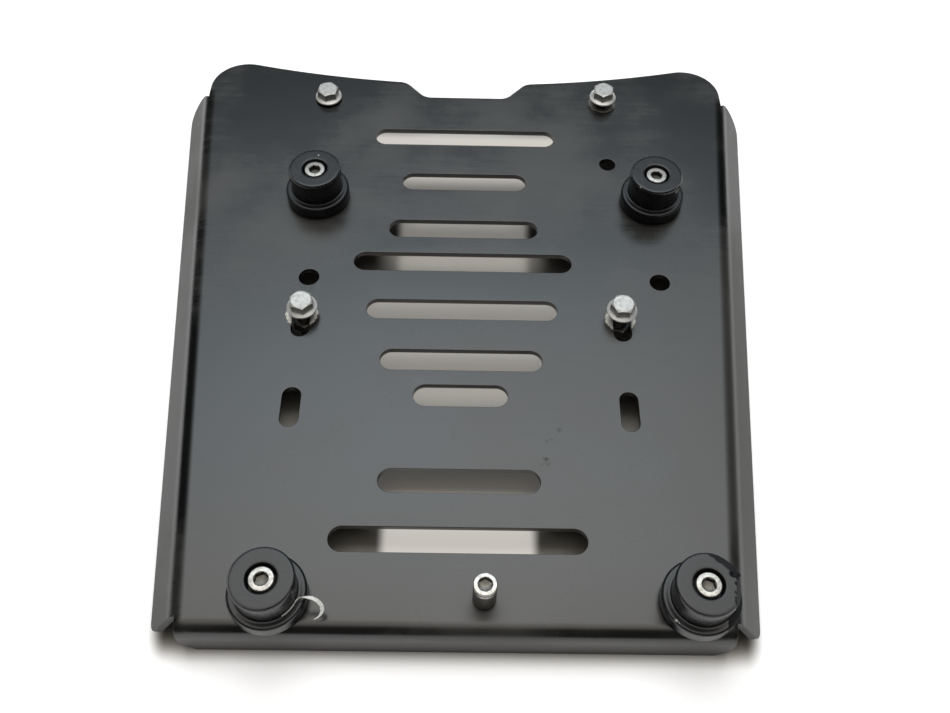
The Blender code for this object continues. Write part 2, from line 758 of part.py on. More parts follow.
def make_feet(collection, cutters, rubber, steel, zinc):
    """The four feet, each with the washer and screw in it and the nut under the plate."""
    foot = turned_mesh("rubber_foot", foot_profile(), True, collection, FOOT_STEPS)
    shade_round(foot)
    screw = socket_screw_mesh(
        "foot_screw",
        SOCKET_HEAD_DIAMETER,
        SOCKET_HEAD_HEIGHT,
        FOOT_SCREW_LENGTH,
        SOCKET_DEPTH,
        collection,
        cutters,
    )
    washer = washer_mesh(collection)
    nut = nut_mesh(collection, cutters)
    base = DECK_TOP + CLEARANCE
    head_seat = base + FOOT_HEIGHT - SCREW_RECESS - SOCKET_HEAD_HEIGHT
    washer_seat = head_seat - CLEARANCE - WASHER_THICKNESS
    rows = (("far", FAR_FEET_FROM_NEAR), ("near", NEAR_FEET_FROM_NEAR))
    turn = 0.0
    for row, distance in rows:
        for side, hand in HANDS.items():
            where = f"{row}_{hand}"
            x = foot_x(side)
            y = from_near(distance)
            turn += math.radians(17.0)
            place(f"foot_{where}", foot, (x, y, base), 0.0, rubber, collection)
            place(f"foot_washer_{where}", washer, (x, y, washer_seat), 0.0, steel, collection)
            place(f"foot_screw_{where}", screw, (x, y, head_seat), turn, steel, collection)
            place(f"foot_nut_{where}", nut, (x, y, UNDERSIDE - CLEARANCE), turn, zinc, collection)
    return nut


def make_bolts(collection, cutters, nut, zinc):
    """The four flange bolts, standing a little proud of the deck, each with its nut."""
    bolt = flange_bolt_mesh(collection, cutters)
    rows = {"far": FAR_BOLTS_FROM_NEAR, "mid": MID_BOLTS_FROM_NEAR}
    for row, side, play, stand, turn in BOLT_STANDS:
        where = f"{row}_{HANDS[side]}"
        x = bolt_x(side) + play
        y = from_near(rows[row])
        seat = DECK_TOP + CLEARANCE + stand
        place(f"flange_bolt_{where}", bolt, (x, y, seat), turn, zinc, collection)
        under = UNDERSIDE - CLEARANCE
        place(f"bolt_nut_{where}", nut, (x, y, under), turn / 2.0, zinc, collection)


def make_spigot(collection, cutters, nut, steel, zinc):
    """The locating spigot: a sleeve on the deck, held by a cap screw of its own diameter."""
    x = FEET_OFFSET
    y = from_near(SPIGOT_FROM_NEAR)
    sleeve = sleeve_mesh(collection)
    screw = socket_screw_mesh(
        "spigot_screw",
        SPIGOT_DIAMETER,
        SPIGOT_HEAD_HEIGHT,
        SPIGOT_SCREW_LENGTH,
        SPIGOT_SOCKET_DEPTH,
        collection,
        cutters,
    )
    base = DECK_TOP + CLEARANCE
    seat = base + SLEEVE_HEIGHT + CLEARANCE
    place("spigot_sleeve", sleeve, (x, y, base), 0.0, zinc, collection)
    place("spigot_screw", screw, (x, y, seat), 0.0, steel, collection)
    place("spigot_nut", nut, (x, y, UNDERSIDE - CLEARANCE), 0.0, zinc, collection)


def main():
    clear_scene()
    collection = new_collection("top_case_plate")
    cutters = new_collection("cutters")
    cutters.hide_render = True
    black = make_material("black_paint", (0.045, 0.047, 0.048), 0.42, 0.0)
    rubber = make_material("black_rubber", (0.018, 0.018, 0.019), 0.55, 0.0)
    steel = make_material("stainless_steel", (0.72, 0.71, 0.69), 0.25, 1.0)
    zinc = make_material("zinc_plate", (0.66, 0.66, 0.65), 0.35, 1.0)
    flash = make_material("torn_flash", (0.75, 0.75, 0.73), 0.45, 0.0)
    make_plate(collection, black)
    nut = make_feet(collection, cutters, rubber, steel, zinc)
    make_bolts(collection, cutters, nut, zinc)
    make_spigot(collection, cutters, nut, steel, zinc)
    make_strip(collection, flash)


main()
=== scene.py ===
"""The looks of a top case mounting plate: painted sheet, rubber feet and loose fasteners.

Every piece is built in metres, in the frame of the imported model: +Z is up and +Y points to the
far edge with the two rounded ears.
"""

import sys

import logging
import math
from collections.abc import Callable, Iterable, Sequence
from dataclasses import dataclass, field, replace
from enum import Enum
from functools import reduce
from operator import or_

import bmesh
import bpy
from mathutils import Matrix, Vector, noise

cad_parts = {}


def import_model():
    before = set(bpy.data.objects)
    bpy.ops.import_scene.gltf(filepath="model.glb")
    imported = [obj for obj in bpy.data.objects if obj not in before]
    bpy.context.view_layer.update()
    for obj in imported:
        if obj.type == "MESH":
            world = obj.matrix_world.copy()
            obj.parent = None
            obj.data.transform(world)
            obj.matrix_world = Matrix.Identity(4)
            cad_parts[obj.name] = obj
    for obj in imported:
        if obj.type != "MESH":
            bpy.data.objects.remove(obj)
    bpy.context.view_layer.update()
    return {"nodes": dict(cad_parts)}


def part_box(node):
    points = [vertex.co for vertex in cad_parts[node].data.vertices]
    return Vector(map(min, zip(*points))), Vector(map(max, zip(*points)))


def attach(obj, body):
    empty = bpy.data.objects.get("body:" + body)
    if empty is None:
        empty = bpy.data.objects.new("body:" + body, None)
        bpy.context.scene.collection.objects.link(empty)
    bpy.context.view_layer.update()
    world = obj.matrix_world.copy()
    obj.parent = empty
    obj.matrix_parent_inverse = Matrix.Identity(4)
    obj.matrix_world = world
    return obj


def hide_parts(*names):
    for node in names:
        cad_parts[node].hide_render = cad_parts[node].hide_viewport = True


LOG = logging.getLogger("mounting_plate")
BODY = "root"
TURN = 2.0 * math.pi
UP = Vector((0.0, 0.0, 1.0))
CHAMFER_SLOPE = math.tan(math.radians(30.0))
RING_SHARPNESS = 20.0

Profile = float | Callable[[float], float]
Colour = tuple[float, float, float]
Point = tuple[float, float, float]


class Slot(Enum):
    """The record's material slots."""

    PAINT = "black_paint"
    RUBBER = "rubber"
    STAINLESS = "stainless"
    ZINC = "zinc"
    DARK_ZINC = "zinc_dark"
    FLASH = "flash"


class Hand(Enum):
    """The two sides of the plate, as the sign of their X."""

    LEFT = -1
    RIGHT = 1


@dataclass(frozen=True)
class Signal:
    """One output socket, on which arithmetic adds Math nodes."""

    nodes: "Nodes"
    socket: bpy.types.NodeSocket

    def __add__(self, other: "Signal | float") -> "Signal":
        """The sum, as a Math node."""
        return self.nodes.maths("ADD", self, other)

    def __radd__(self, other: float) -> "Signal":
        """The sum with a number on the left."""
        return self.nodes.maths("ADD", other, self)

    def __sub__(self, other: "Signal | float") -> "Signal":
        """The difference, as a Math node."""
        return self.nodes.maths("SUBTRACT", self, other)

    def __rsub__(self, other: float) -> "Signal":
        """A number less this signal."""
        return self.nodes.maths("SUBTRACT", other, self)

    def __mul__(self, other: "Signal | float") -> "Signal":
        """The product, as a Math node."""
        return self.nodes.maths("MULTIPLY", self, other)

    def __rmul__(self, other: float) -> "Signal":
        """The product with a number on the left."""
        return self.nodes.maths("MULTIPLY", other, self)

    def __truediv__(self, other: "Signal | float") -> "Signal":
        """The quotient, as a Math node."""
        return self.nodes.maths("DIVIDE", self, other)

    def __rtruediv__(self, other: float) -> "Signal":
        """A number divided by this signal."""
        return self.nodes.maths("DIVIDE", other, self)

    def __getitem__(self, output: int | str) -> "Signal":
        """Another output of the same node, by its name or index."""
        return Signal(self.nodes, self.socket.node.outputs[output])

    def __or__(self, other: "Signal | float") -> "Signal":
        """The larger of two masks."""
        return self.nodes.maths("MAXIMUM", self, other)

    def __ror__(self, other: float) -> "Signal":
        """The larger of a number and this mask."""
        return self.nodes.maths("MAXIMUM", other, self)


Value = Signal | float | tuple


class Nodes:
    """The node tree of a material or of the world."""

    def __init__(self, tree: bpy.types.NodeTree) -> None:
        """Takes the tree and empties it."""
        self.tree = tree
        tree.nodes.clear()

    def add(
        self,
        kind: str,
        settings: dict | None = None,
        inputs: dict[int | str, Value] | None = None,
        output: int = 0,
    ) -> Signal | None:
        """Adds one node of any type.

        Args:
            kind: the node's type.
            settings: its properties, set first; "stops" are a ramp's positions and colours.
            inputs: a number, colour or signal for each input, by its name or index.
            output: which output the signal stands for.

        Returns:
            The chosen output, or none where the node has no outputs.
        """
        node = self.tree.nodes.new(kind)
        for name, value in (settings or {}).items():
            if name == "stops":
                self._set_stops(node.color_ramp, value)
            else:
                setattr(node, name, value)
        for key, value in (inputs or {}).items():
            if isinstance(value, Signal):
                self.tree.links.new(value.socket, node.inputs[key])
            else:
                node.inputs[key].default_value = value
        return Signal(self, node.outputs[output]) if node.outputs else None

    def _set_stops(self, ramp: bpy.types.ColorRamp, stops: Sequence[tuple[float, Colour]]) -> None:
        """Gives a colour ramp its stops, in order.

        Args:
            ramp: the ramp.
            stops: its positions and colours.
        """
        while len(ramp.elements) < len(stops):
            ramp.elements.new(1.0)
        for element, (position, colour) in zip(ramp.elements, stops):
            element.position = position
            element.color = (*colour, 1.0)

    def maths(self, operation: str, *values: Signal | float) -> Signal:
        """A Math node on numbers and signals."""
        return self.add("ShaderNodeMath", {"operation": operation}, dict(enumerate(values)))

    def vector(self, operation: str, *values: Value) -> Signal:
        """A Vector Math node on vectors and signals."""
        return self.add("ShaderNodeVectorMath", {"operation": operation}, dict(enumerate(values)))

    def place(self) -> Signal:
        """The point of the surface in its object's own coordinates."""
        return self.add("ShaderNodeTexCoord", output=3)

    def blend(self, share: Value, first: Signal | Colour, second: Signal | Colour) -> Signal:
        """A colour between two others.

        Args:
            share: 0 for the first colour, 1 for the second.
            first: a colour or a signal.
            second: a colour or a signal.

        Returns:
            The mixed colour.
        """
        ends = [end if isinstance(end, Signal) else (*end, 1.0) for end in (first, second)]
        inputs = {0: share, 6: ends[0], 7: ends[1]}
        return self.add("ShaderNodeMix", {"data_type": "RGBA"}, inputs, output=2)

    def rise(self, value: Signal, low: float, high: float) -> Signal:
        """A smooth rise from 0 at the low value to 1 at the high one."""
        inputs = {"Value": value, "From Min": low, "From Max": high}
        return self.add("ShaderNodeMapRange", {"interpolation_type": "SMOOTHSTEP"}, inputs)

    def fall(self, value: Signal, low: float, high: float) -> Signal:
        """A smooth fall from 1 at the low value to 0 at the high one."""
        return 1.0 - self.rise(value, low, high)

    def height(self, place: Signal) -> Signal:
        """The Z of the coordinates."""
        return self.add("ShaderNodeSeparateXYZ", None, {0: place})[2]

    def curve(self, value: Signal, levels: Sequence[tuple[float, float]]) -> Signal:
        """A level read off a table of positions from 0 to 1 and their levels."""
        stops = [(at, (level, level, level)) for at, level in levels]
        return self.add("ShaderNodeValToRGB", {"stops": stops}, {0: value})

    def clouds(self, place: Signal, scale: float, detail: float, roughness: float = 0.5) -> Signal:
        """A noise from 0 to 1.

        Args:
            place: the coordinates that it is read at.
            scale: waves a metre.
            detail: how many finer octaves it holds.
            roughness: how strong the finer octaves are.

        Returns:
            The noise.
        """
        inputs = {"Vector": place, "Scale": scale, "Detail": detail, "Roughness": roughness}
        return self.add("ShaderNodeTexNoise", None, inputs)

    def stretched(self, place: Signal, factors: Point) -> Signal:
        """The coordinates, scaled by a factor along each axis."""
        return self.vector("MULTIPLY", place, factors)

    def distance(self, place: Signal, point: Sequence[float]) -> Signal:
        """How far the surface lies from a point."""
        return self.vector("DISTANCE", place, tuple(point))["Value"]

    def specks(self, place: Signal, pitch: float, size: float) -> Signal:
        """Scattered round specks.

        Args:
            place: the coordinates that they are read at.
            pitch: the mean distance between two of them.
            size: the radius of the largest.

        Returns:
            A mask that is 1 in a speck.
        """
        cell = self.add("ShaderNodeTexVoronoi", None, {"Vector": place, "Scale": 1.0 / pitch})
        share = size / pitch
        chosen = self.rise(self.clouds(place, 0.4 / pitch, 1.0), 0.48, 0.56)
        return self.fall(cell, 0.5 * share, share) * chosen

    def bump(self, height: Signal, strength: float, depth: float) -> Signal:
        """A bumped normal.

        Args:
            height: the relief, from 0 to 1.
            strength: how much of it shows.
            depth: its depth in metres.

        Returns:
            The normal.
        """
        inputs = {"Strength": strength, "Distance": depth, "Height": height}
        return self.add("ShaderNodeBump", None, inputs)


@dataclass(frozen=True)
class Scuff:
    """A round patch on the deck that is rubbed through, and how bare it is."""

    x: float
    y: float
    radius: float
    bareness: float


@dataclass(frozen=True)
class Nick:
    """A small cut in a foot that shows pale."""

    place: Point
    radius: float


@dataclass(frozen=True)
class Dent:
    """A place where a foot's skin is pushed in or pulled out."""

    place: Point
    radius: float
    push: Point


@dataclass(frozen=True)
class TornFacet:
    """A side of a foot's top that was torn away past a straight line."""

    towards: float
    distance: float
    slope: float

    def direction(self) -> Vector:
        """The level direction in which the tear lies from the foot's axis."""
        return Vector((math.cos(self.towards), math.sin(self.towards), 0.0))


TORN_ALL_OVER = TornFacet(towards=0.0, distance=-1.0, slope=0.0)


@dataclass(frozen=True)
class Finish:
    """How one kind of surface looks. A subclass says what its shader's sockets take."""

    name: str
    slot: Slot

    def sockets(self, nodes: Nodes) -> dict[str, Value]:
        """What the Principled shader's sockets take."""
        raise NotImplementedError

    def material(self) -> bpy.types.Material:
        """The finish's material, made on its first use.

        Returns:
            The material.
        """
        made = bpy.data.materials.get(self.name)
        if made is None:
            made = bpy.data.materials.new(self.name)
            made.use_nodes = True
            nodes = Nodes(made.node_tree)
            shader = nodes.add("ShaderNodeBsdfPrincipled", None, self.sockets(nodes))
            nodes.add("ShaderNodeOutputMaterial", None, {"Surface": shader})
        return made


@dataclass(frozen=True)
class SatinPaint(Finish):
    """Satin black paint, handled and a little dusty, rubbed to steel under the loose bolts."""

    deck_top: float
    scuffs: tuple[Scuff, ...]
    rubs: tuple[Scuff, ...]
    colour: Colour = (0.0022, 0.0023, 0.0024)
    dust: Colour = (0.085, 0.083, 0.078)
    dust_share: float = 0.28
    steel: Colour = (0.86, 0.84, 0.78)
    pitted_steel: Colour = (0.3, 0.29, 0.26)
    # The soil round the bare patches, a real stain.
    soil_and_painted_shade: Colour = (0.16, 0.12, 0.08)
    soil_width: float = 0.0004
    patch_edge: float = 0.0003
    raggedness: float = 0.0022
    roughness: float = 0.23
    flange_drop: tuple[float, float] = (0.0015, 0.0055)
    flange_dullness: float = 0.18
    ior: float = 1.72
    grain_depth: float = 0.00004

    def patch(self, nodes: Nodes, place: Signal, scuff: Scuff, ragged: Signal) -> Signal:
        """The mask of one patch.

        Args:
            nodes: the material's nodes.
            place: the surface's coordinates.
            scuff: the patch.
            ragged: the distance by which its edge is shifted.

        Returns:
            The mask, 1 times its bareness in the patch.
        """
        away = nodes.distance(place, (scuff.x, scuff.y, self.deck_top)) + ragged
        return nodes.fall(away, scuff.radius - self.patch_edge, scuff.radius) * scuff.bareness

    def patches(
        self, nodes: Nodes, place: Signal, scuffs: Iterable[Scuff], ragged: Signal, wider: float
    ) -> Signal:
        """The mask of several patches.

        Args:
            nodes: the material's nodes.
            place: the surface's coordinates.
            scuffs: the patches.
            ragged: the distance by which their edges are shifted.
            wider: a margin that is added to each radius.

        Returns:
            The mask.
        """
        widened = (replace(scuff, radius=scuff.radius + wider) for scuff in scuffs)
        return reduce(or_, (self.patch(nodes, place, scuff, ragged) for scuff in widened))

    def sockets(self, nodes: Nodes) -> dict[str, Value]:
        """Black satin with smudges, specks, rubs and bare patches, duller on the flanges.

        Args:
            nodes: the material's nodes.

        Returns:
            The value or signal of each socket, by its name.
        """
        place = nodes.place()
        grain = nodes.clouds(place, 2400.0, 2.0, 0.6)
        fine = nodes.clouds(place, 160.0, 4.0, 0.7)
        ragged = (nodes.clouds(place, 900.0, 3.0, 0.7) - 0.5) * self.raggedness
        bare = self.patches(nodes, place, self.scuffs, ragged, 0.0)
        soiled = self.patches(nodes, place, self.scuffs, ragged, self.soil_width)
        scribble = nodes.rise(nodes.clouds(place, 420.0, 3.0, 0.8), 0.52, 0.6)
        rubbed_and_highlit = self.patches(nodes, place, self.rubs, ragged * 0.8, 0.0) * scribble
        broad = nodes.clouds(place, 11.0, 4.0, 0.55)
        streaks = nodes.clouds(nodes.stretched(place, (26.0, 420.0, 60.0)), 1.0, 3.0, 0.6)
        smudge = nodes.rise(broad * 0.80 + fine * 0.08 + streaks * 0.12, 0.43, 0.62)
        specks = nodes.specks(place, 0.030, 0.00045) | nodes.specks(place, 0.011, 0.00016)
        upper, lower = (self.deck_top - drop for drop in self.flange_drop)
        flanges = nodes.fall(nodes.height(place), lower, upper)
        painted = nodes.blend(smudge * self.dust_share + specks * 0.8, self.colour, self.dust)
        pitted = nodes.blend(nodes.rise(grain, 0.42, 0.6) * 0.8, self.steel, self.pitted_steel)
        edged = nodes.blend(soiled * 0.7, painted, self.soil_and_painted_shade)
        wear = smudge * 0.12 + flanges * self.flange_dullness + bare * 0.25 + rubbed_and_highlit * 0.3
        return {
            "Base Color": nodes.blend(bare, edged, pitted),
            "Metallic": bare * 0.35,
            "Roughness": self.roughness + wear,
            "IOR": self.ior,
            "Normal": nodes.bump(grain + fine * bare, 0.16, self.grain_depth),
        }


@dataclass(frozen=True)
class MouldedRubber(Finish):
    """Black rubber with a fine skin, pale nicks where it was cut and dull faces where torn."""

    nicks: tuple[Nick, ...] = ()
    tears: tuple[TornFacet, ...] = ()
    colour: Colour = (0.0046, 0.0058, 0.0074)
    bloom: Colour = (0.05, 0.05, 0.052)
    cut: Colour = (0.42, 0.41, 0.39)
    raggedness: float = 0.0012
    roughness: float = 0.27
    torn_roughness: float = 0.85
    tear_edge: float = 0.0002
    ior: float = 1.58
    skin_depth: float = 0.00006

    def sockets(self, nodes: Nodes) -> dict[str, Value]:
        """Black rubber with a greyish bloom, the pale nicks and the dull tears.

        Args:
            nodes: the material's nodes.

        Returns:
            The value or signal of each socket, by its name.
        """
        place = nodes.place()
        skin = nodes.clouds(place, 1900.0, 3.0, 0.6)
        bloom = nodes.rise(nodes.clouds(place, 170.0, 4.0, 0.65), 0.4, 0.75)
        specks = nodes.specks(place, 0.006, 0.00022)
        colour = nodes.blend(bloom * 0.16 + specks * 0.7, self.colour, self.bloom)
        ragged = (nodes.clouds(place, 1500.0, 3.0, 0.7) - 0.5) * self.raggedness
        for nick in self.nicks:
            away = nodes.distance(place, nick.place) + ragged
            mask = nodes.fall(away, nick.radius * 0.75, nick.radius)
            colour = nodes.blend(mask, colour, self.cut)
        roughness = self.roughness + bloom * 0.07
        for tear in self.tears:
            past = nodes.vector("DOT_PRODUCT", place, tuple(tear.direction()))["Value"]
            past = past + ragged * 0.3 - tear.distance
            torn = nodes.rise(past, -self.tear_edge, self.tear_edge)
            roughness = roughness | torn * self.torn_roughness
        return {
            "Base Color": colour,
            "Roughness": roughness,
            "IOR": self.ior,
            "Normal": nodes.bump(skin, 0.14, self.skin_depth),
        }


@dataclass(frozen=True)
class BrightMetal(Finish):
    """Bare or plated metal with a fine mottle and handling marks.

    The levels are heights in the piece's own frame: the socket's floor gets painted shade under
    pit_level, the metal gets a painted highlight under the highlight's level and painted shade
    under the shade's level.
    """

    colour: Colour
    worn: Colour
    roughness: float
    metallic: float = 1.0
    pit_level: float | None = None
    shaded_below: float | None = None
    highlight_below: float | None = None
    # The colour of the painted highlight on a bolt's flange.
    painted_highlight: Colour = (0.92, 0.92, 0.90)
    # Painted shade, laid on the socket's floor and on the shank under the head.
    soil_and_painted_shade: Colour = (0.045, 0.04, 0.033)
    pit_radius: float = 0.0029
    mottle_scale: float = 700.0
    relief: float = 0.00003

    def sockets(self, nodes: Nodes) -> dict[str, Value]:
        """Metal whose mottle changes its colour and its gloss.

        Args:
            nodes: the material's nodes.

        Returns:
            The value or signal of each socket, by its name.
        """
        place = nodes.place()
        mottle = nodes.rise(nodes.clouds(place, self.mottle_scale, 4.0, 0.7), 0.35, 0.7)
        lines = nodes.clouds(nodes.stretched(place, (300.0, 5200.0, 900.0)), 1.0, 2.0, 0.6)
        colour = nodes.blend(mottle, self.colour, self.worn)
        height = nodes.height(place)
        # Painted shade: the socket's floor is darkened where the socket shades it.
        if self.pit_level is not None:
            away = nodes.distance(nodes.stretched(place, (1.0, 1.0, 0.0)), (0.0, 0.0, 0.0))
            sunk = nodes.fall(height, self.pit_level - 0.0010, self.pit_level - 0.0001)
            inside = nodes.fall(away, self.pit_radius, self.pit_radius + 0.0001)
            colour = nodes.blend(sunk * inside * 0.8, colour, self.soil_and_painted_shade)
        # Painted highlight: the flange and the foot of the head are painted lighter, standing in
        # for their sheen.
        if self.highlight_below is not None:
            rubbed_and_highlit = nodes.fall(height, self.highlight_below - 0.0004, self.highlight_below)
            colour = nodes.blend(rubbed_and_highlit, colour, self.painted_highlight)
        # Painted shade: the shank under the flange is darkened where the flange and the plate shade
        # it.
        if self.shaded_below is not None:
            shank_shade = nodes.fall(height, self.shaded_below - 0.0006, self.shaded_below)
            colour = nodes.blend(shank_shade * 0.92, colour, self.soil_and_painted_shade)
        return {
            "Base Color": colour,
            "Metallic": self.metallic,
            "Roughness": self.roughness + mottle * 0.1 + lines * 0.05,
            "Normal": nodes.bump(mottle * 0.6 + lines * 0.4, 0.25, self.relief),
        }


@dataclass(frozen=True)
class TornFlash(Finish):
    """The thin pale skin that was peeled off in a strip."""

    colour: Colour = (0.72, 0.72, 0.69)
    shade: Colour = (0.36, 0.36, 0.34)
    relief: float = 0.0001

    def sockets(self, nodes: Nodes) -> dict[str, Value]:
        """A dull pale skin with streaks.

        Args:
            nodes: the material's nodes.

        Returns:
            The value or signal of each socket, by its name.
        """
        place = nodes.place()
        streaks = nodes.rise(nodes.clouds(place, 1300.0, 4.0, 0.7), 0.42, 0.72)
        return {
            "Base Color": nodes.blend(streaks * 0.7, self.colour, self.shade),
            "Roughness": 0.42 + streaks * 0.15,
            "Normal": nodes.bump(streaks, 0.4, self.relief),
        }


FOOT_STEEL = BrightMetal(
    "foot_screw_steel",
    Slot.STAINLESS,
    colour=(0.58, 0.57, 0.54),
    worn=(0.36, 0.35, 0.33),
    roughness=0.27,
    metallic=0.85,
    # Painted shade on the socket's floor below this level.
    pit_level=0.0060,
)
PIN_STEEL = BrightMetal(
    "pin_screw_steel",
    Slot.STAINLESS,
    colour=(0.66, 0.65, 0.62),
    worn=(0.42, 0.41, 0.39),
    roughness=0.24,
    metallic=0.9,
    # Painted shade on the socket's floor below this level.
    pit_level=0.0032,
)
# Painted shade: the washers are a darkened copy of the stainless steel, for the shade deep in the
# counterbores.
SHADE_DARK_WASHER_STEEL = BrightMetal(
    "shade_darkened_washer_steel",
    Slot.STAINLESS,
    colour=(0.06, 0.06, 0.057),
    worn=(0.035, 0.034, 0.032),
    roughness=0.45,
)
BOLT_ZINC = BrightMetal(
    "bright_bolt_zinc",
    Slot.ZINC,
    colour=(0.62, 0.625, 0.61),
    worn=(0.43, 0.43, 0.415),
    roughness=0.36,
    metallic=0.72,
    # Painted shade on the shank under the flange.
    shaded_below=-0.0001,
    # A painted highlight on the flange, up to this level.
    highlight_below=0.0020,
)
# Painted shade: the nuts are a darkened copy of the bolts' zinc, for the shade under the plate.
SHADE_DARK_NUT_ZINC = BrightMetal(
    "shade_darkened_nut_zinc",
    Slot.ZINC,
    colour=(0.15, 0.15, 0.145),
    worn=(0.10, 0.10, 0.095),
    roughness=0.38,
)
DARK_ZINC = BrightMetal(
    "sleeve_zinc",
    Slot.DARK_ZINC,
    colour=(0.17, 0.165, 0.152),
    worn=(0.11, 0.105, 0.096),
    roughness=0.32,
)
FLASH = TornFlash("torn_flash_skin", Slot.FLASH)


def smooth_mesh(bm: bmesh.types.BMesh, name: str, sharp_degrees: float = 32.0) -> bpy.types.Mesh:
    """Turns a bmesh into a mesh that is shaded smooth up to its sharp edges.

    Args:
        bm: the shape, which is freed.
        name: the mesh's name.
        sharp_degrees: the angle from which an edge stays sharp.

    Returns:
        The mesh.
    """
    bmesh.ops.recalc_face_normals(bm, faces=bm.faces)
    mesh = bpy.data.meshes.new(name)
    bm.to_mesh(mesh)
    bm.free()
    mesh.shade_smooth()
    mesh.set_sharp_from_angle(angle=math.radians(sharp_degrees))
    return mesh


def join_rings(bm: bmesh.types.BMesh, upper: list, lower: list) -> None:
    """Skins two rings of vertices; a ring of one vertex is a tip.

    Args:
        bm: the shape that gets the faces.
        upper: the first ring's vertices.
        lower: the second ring's vertices.
    """
    count = max(len(upper), len(lower))
    for i in range(count):
        following = (i + 1) % count
        if len(upper) == 1:
            bm.faces.new((upper[0], lower[i], lower[following]))
        elif len(lower) == 1:
            bm.faces.new((upper[following], upper[i], lower[0]))
        else:
            bm.faces.new((upper[following], upper[i], lower[i], lower[following]))


def skinned(
    sections: Sequence[Sequence[Vector]], closed: bool, capped: bool = False
) -> bmesh.types.BMesh:
    """Skins a row of sections.

    Args:
        sections: the points of each section.
        closed: whether the last section joins the first.
        capped: whether the first and the last section get a face of their own.

    Returns:
        The shape.
    """
    bm = bmesh.new()
    rows = [[bm.verts.new(point) for point in section] for section in sections]
    if capped:
        bm.faces.new(rows[0])
        bm.faces.new(rows[-1])
    following = rows[1:] + rows[:1] if closed else rows[1:]
    for first, second in zip(rows, following):
        join_rings(bm, first, second)
    return bm


class Rings:
    """A body drawn as rings of points about the Z axis and skinned from ring to ring."""

    def __init__(self, segments: int) -> None:
        """Starts with no rings."""
        self.segments = segments
        self.rings: list[list[Vector]] = []

    def ring(self, radius: Profile, height: Profile) -> None:
        """Adds a ring.

        Args:
            radius: its radius, or the radius at an angle in radians.
            height: its height, or the height at an angle.
        """
        points = []
        for i in range(self.segments):
            angle = TURN * i / self.segments
            reach = radius(angle) if callable(radius) else radius
            level = height(angle) if callable(height) else height
            points.append(polar(reach, angle, level))
        self.rings.append(points)

    def tip(self, height: float) -> None:
        """Adds a single point on the axis, which closes the body."""
        self.rings.append([Vector((0.0, 0.0, height))])

    def profile(self, points: Iterable[tuple[float, float]]) -> None:
        """Adds a round ring for each radius and height."""
        for radius, height in points:
            self.ring(radius, height)

    def thread(self, radius: float, depth: float, top: float, bottom: float, pitch: float) -> None:
        """Adds a screw thread, run out at both ends.

        Args:
            radius: the radius over the crests.
            depth: how deep the roots lie.
            top: the height where it starts.
            bottom: the height where it ends.
            pitch: its rise in a turn.
        """
        rows = round((top - bottom) / pitch * 6.0)
        for row in range(rows + 1):
            height = top + (bottom - top) * row / rows
            fade = min(1.0, (top - height) / pitch, (height - bottom) / pitch)

            def reach(angle: float, height: float = height, fade: float = fade) -> float:
                """The thread's radius at an angle on this ring."""
                phase = (height / pitch + angle / TURN) % 1.0
                return radius - depth * fade * abs(2.0 * phase - 1.0)

            self.ring(reach, height)

    def mesh(self, name: str, closed: bool = False) -> bpy.types.Mesh:
        """Skins the rings.

        Args:
            name: the mesh's name.
            closed: whether the last ring joins the first, as on a ring-shaped body.

        Returns:
            The mesh.
        """
        return smooth_mesh(self.shape(closed), name, RING_SHARPNESS)

    def shape(self, closed: bool = False) -> bmesh.types.BMesh:
        """The skinned rings as a bmesh, for a body that is worked on further."""
        return skinned(self.rings, closed)


def hexagon(across_flats: float) -> Callable[[float], float]:
    """The radius of a hexagon at an angle, with two of its corners on the Y axis.

    Args:
        across_flats: its width over two flat sides.

    Returns:
        The radius as a function of the angle in radians.
    """
    sector = math.pi / 3.0

    def reach(angle: float) -> float:
        """The hexagon's radius at an angle."""
        return across_flats / 2.0 / math.cos((angle + sector / 2.0) % sector - sector / 2.0)

    return reach


def divided(points: Sequence[tuple[float, float]], step: float) -> list[tuple[float, float]]:
    """A profile with points added so that none lie further apart than a step.

    Args:
        points: the radius and height of each corner.
        step: the largest distance.

    Returns:
        The denser profile.
    """
    dense = [points[0]]
    for first, second in zip(points, points[1:]):
        parts = max(1, math.ceil(math.dist(first, second) / step))
        for i in range(1, parts + 1):
            share = i / parts
            dense.append(
                (
                    first[0] + (second[0] - first[0]) * share,
                    first[1] + (second[1] - first[1]) * share,
                )
            )
    return dense


def new_object(name: str, data: bpy.types.ID) -> bpy.types.Object:
    """Makes an object of its data and links it to the scene.

    Args:
        name: its name.
        data: its mesh, curve, lamp or camera.

    Returns:
        The object.
    """
    made = bpy.data.objects.new(name, data)
    bpy.context.scene.collection.objects.link(made)
    return made


def add_piece(
    name: str,
    mesh: bpy.types.Mesh,
    finish: Finish,
    location: Sequence[float] = (0.0, 0.0, 0.0),
    turn: float = 0.0,
    stands_for: str | None = None,
) -> bpy.types.Object:
    """Makes one piece, dresses it and fixes it to the body.

    Args:
        name: the piece's name.
        mesh: its mesh, which other pieces may share.
        finish: its finish.
        location: where its own origin goes.
        turn: its turn about Z, in radians.
        stands_for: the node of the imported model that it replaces.

    Returns:
        The piece.
    """
    piece = new_object(name, mesh)
    piece.location = location
    piece.rotation_euler = (0.0, 0.0, turn)
    if not mesh.materials:
        mesh.materials.append(None)
    piece.material_slots[0].link = "OBJECT"
    piece.material_slots[0].material = finish.material()
    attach(piece, BODY)
    if stands_for:
        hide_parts(stands_for)
    LOG.info("%s: %d faces, %s", name, len(mesh.polygons), finish.name)
    return piece


def bottom_of(node: str) -> Vector:
    """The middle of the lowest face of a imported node's box."""
    low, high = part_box(node)
    return Vector((*((low + high) / 2.0).xy, low.z))


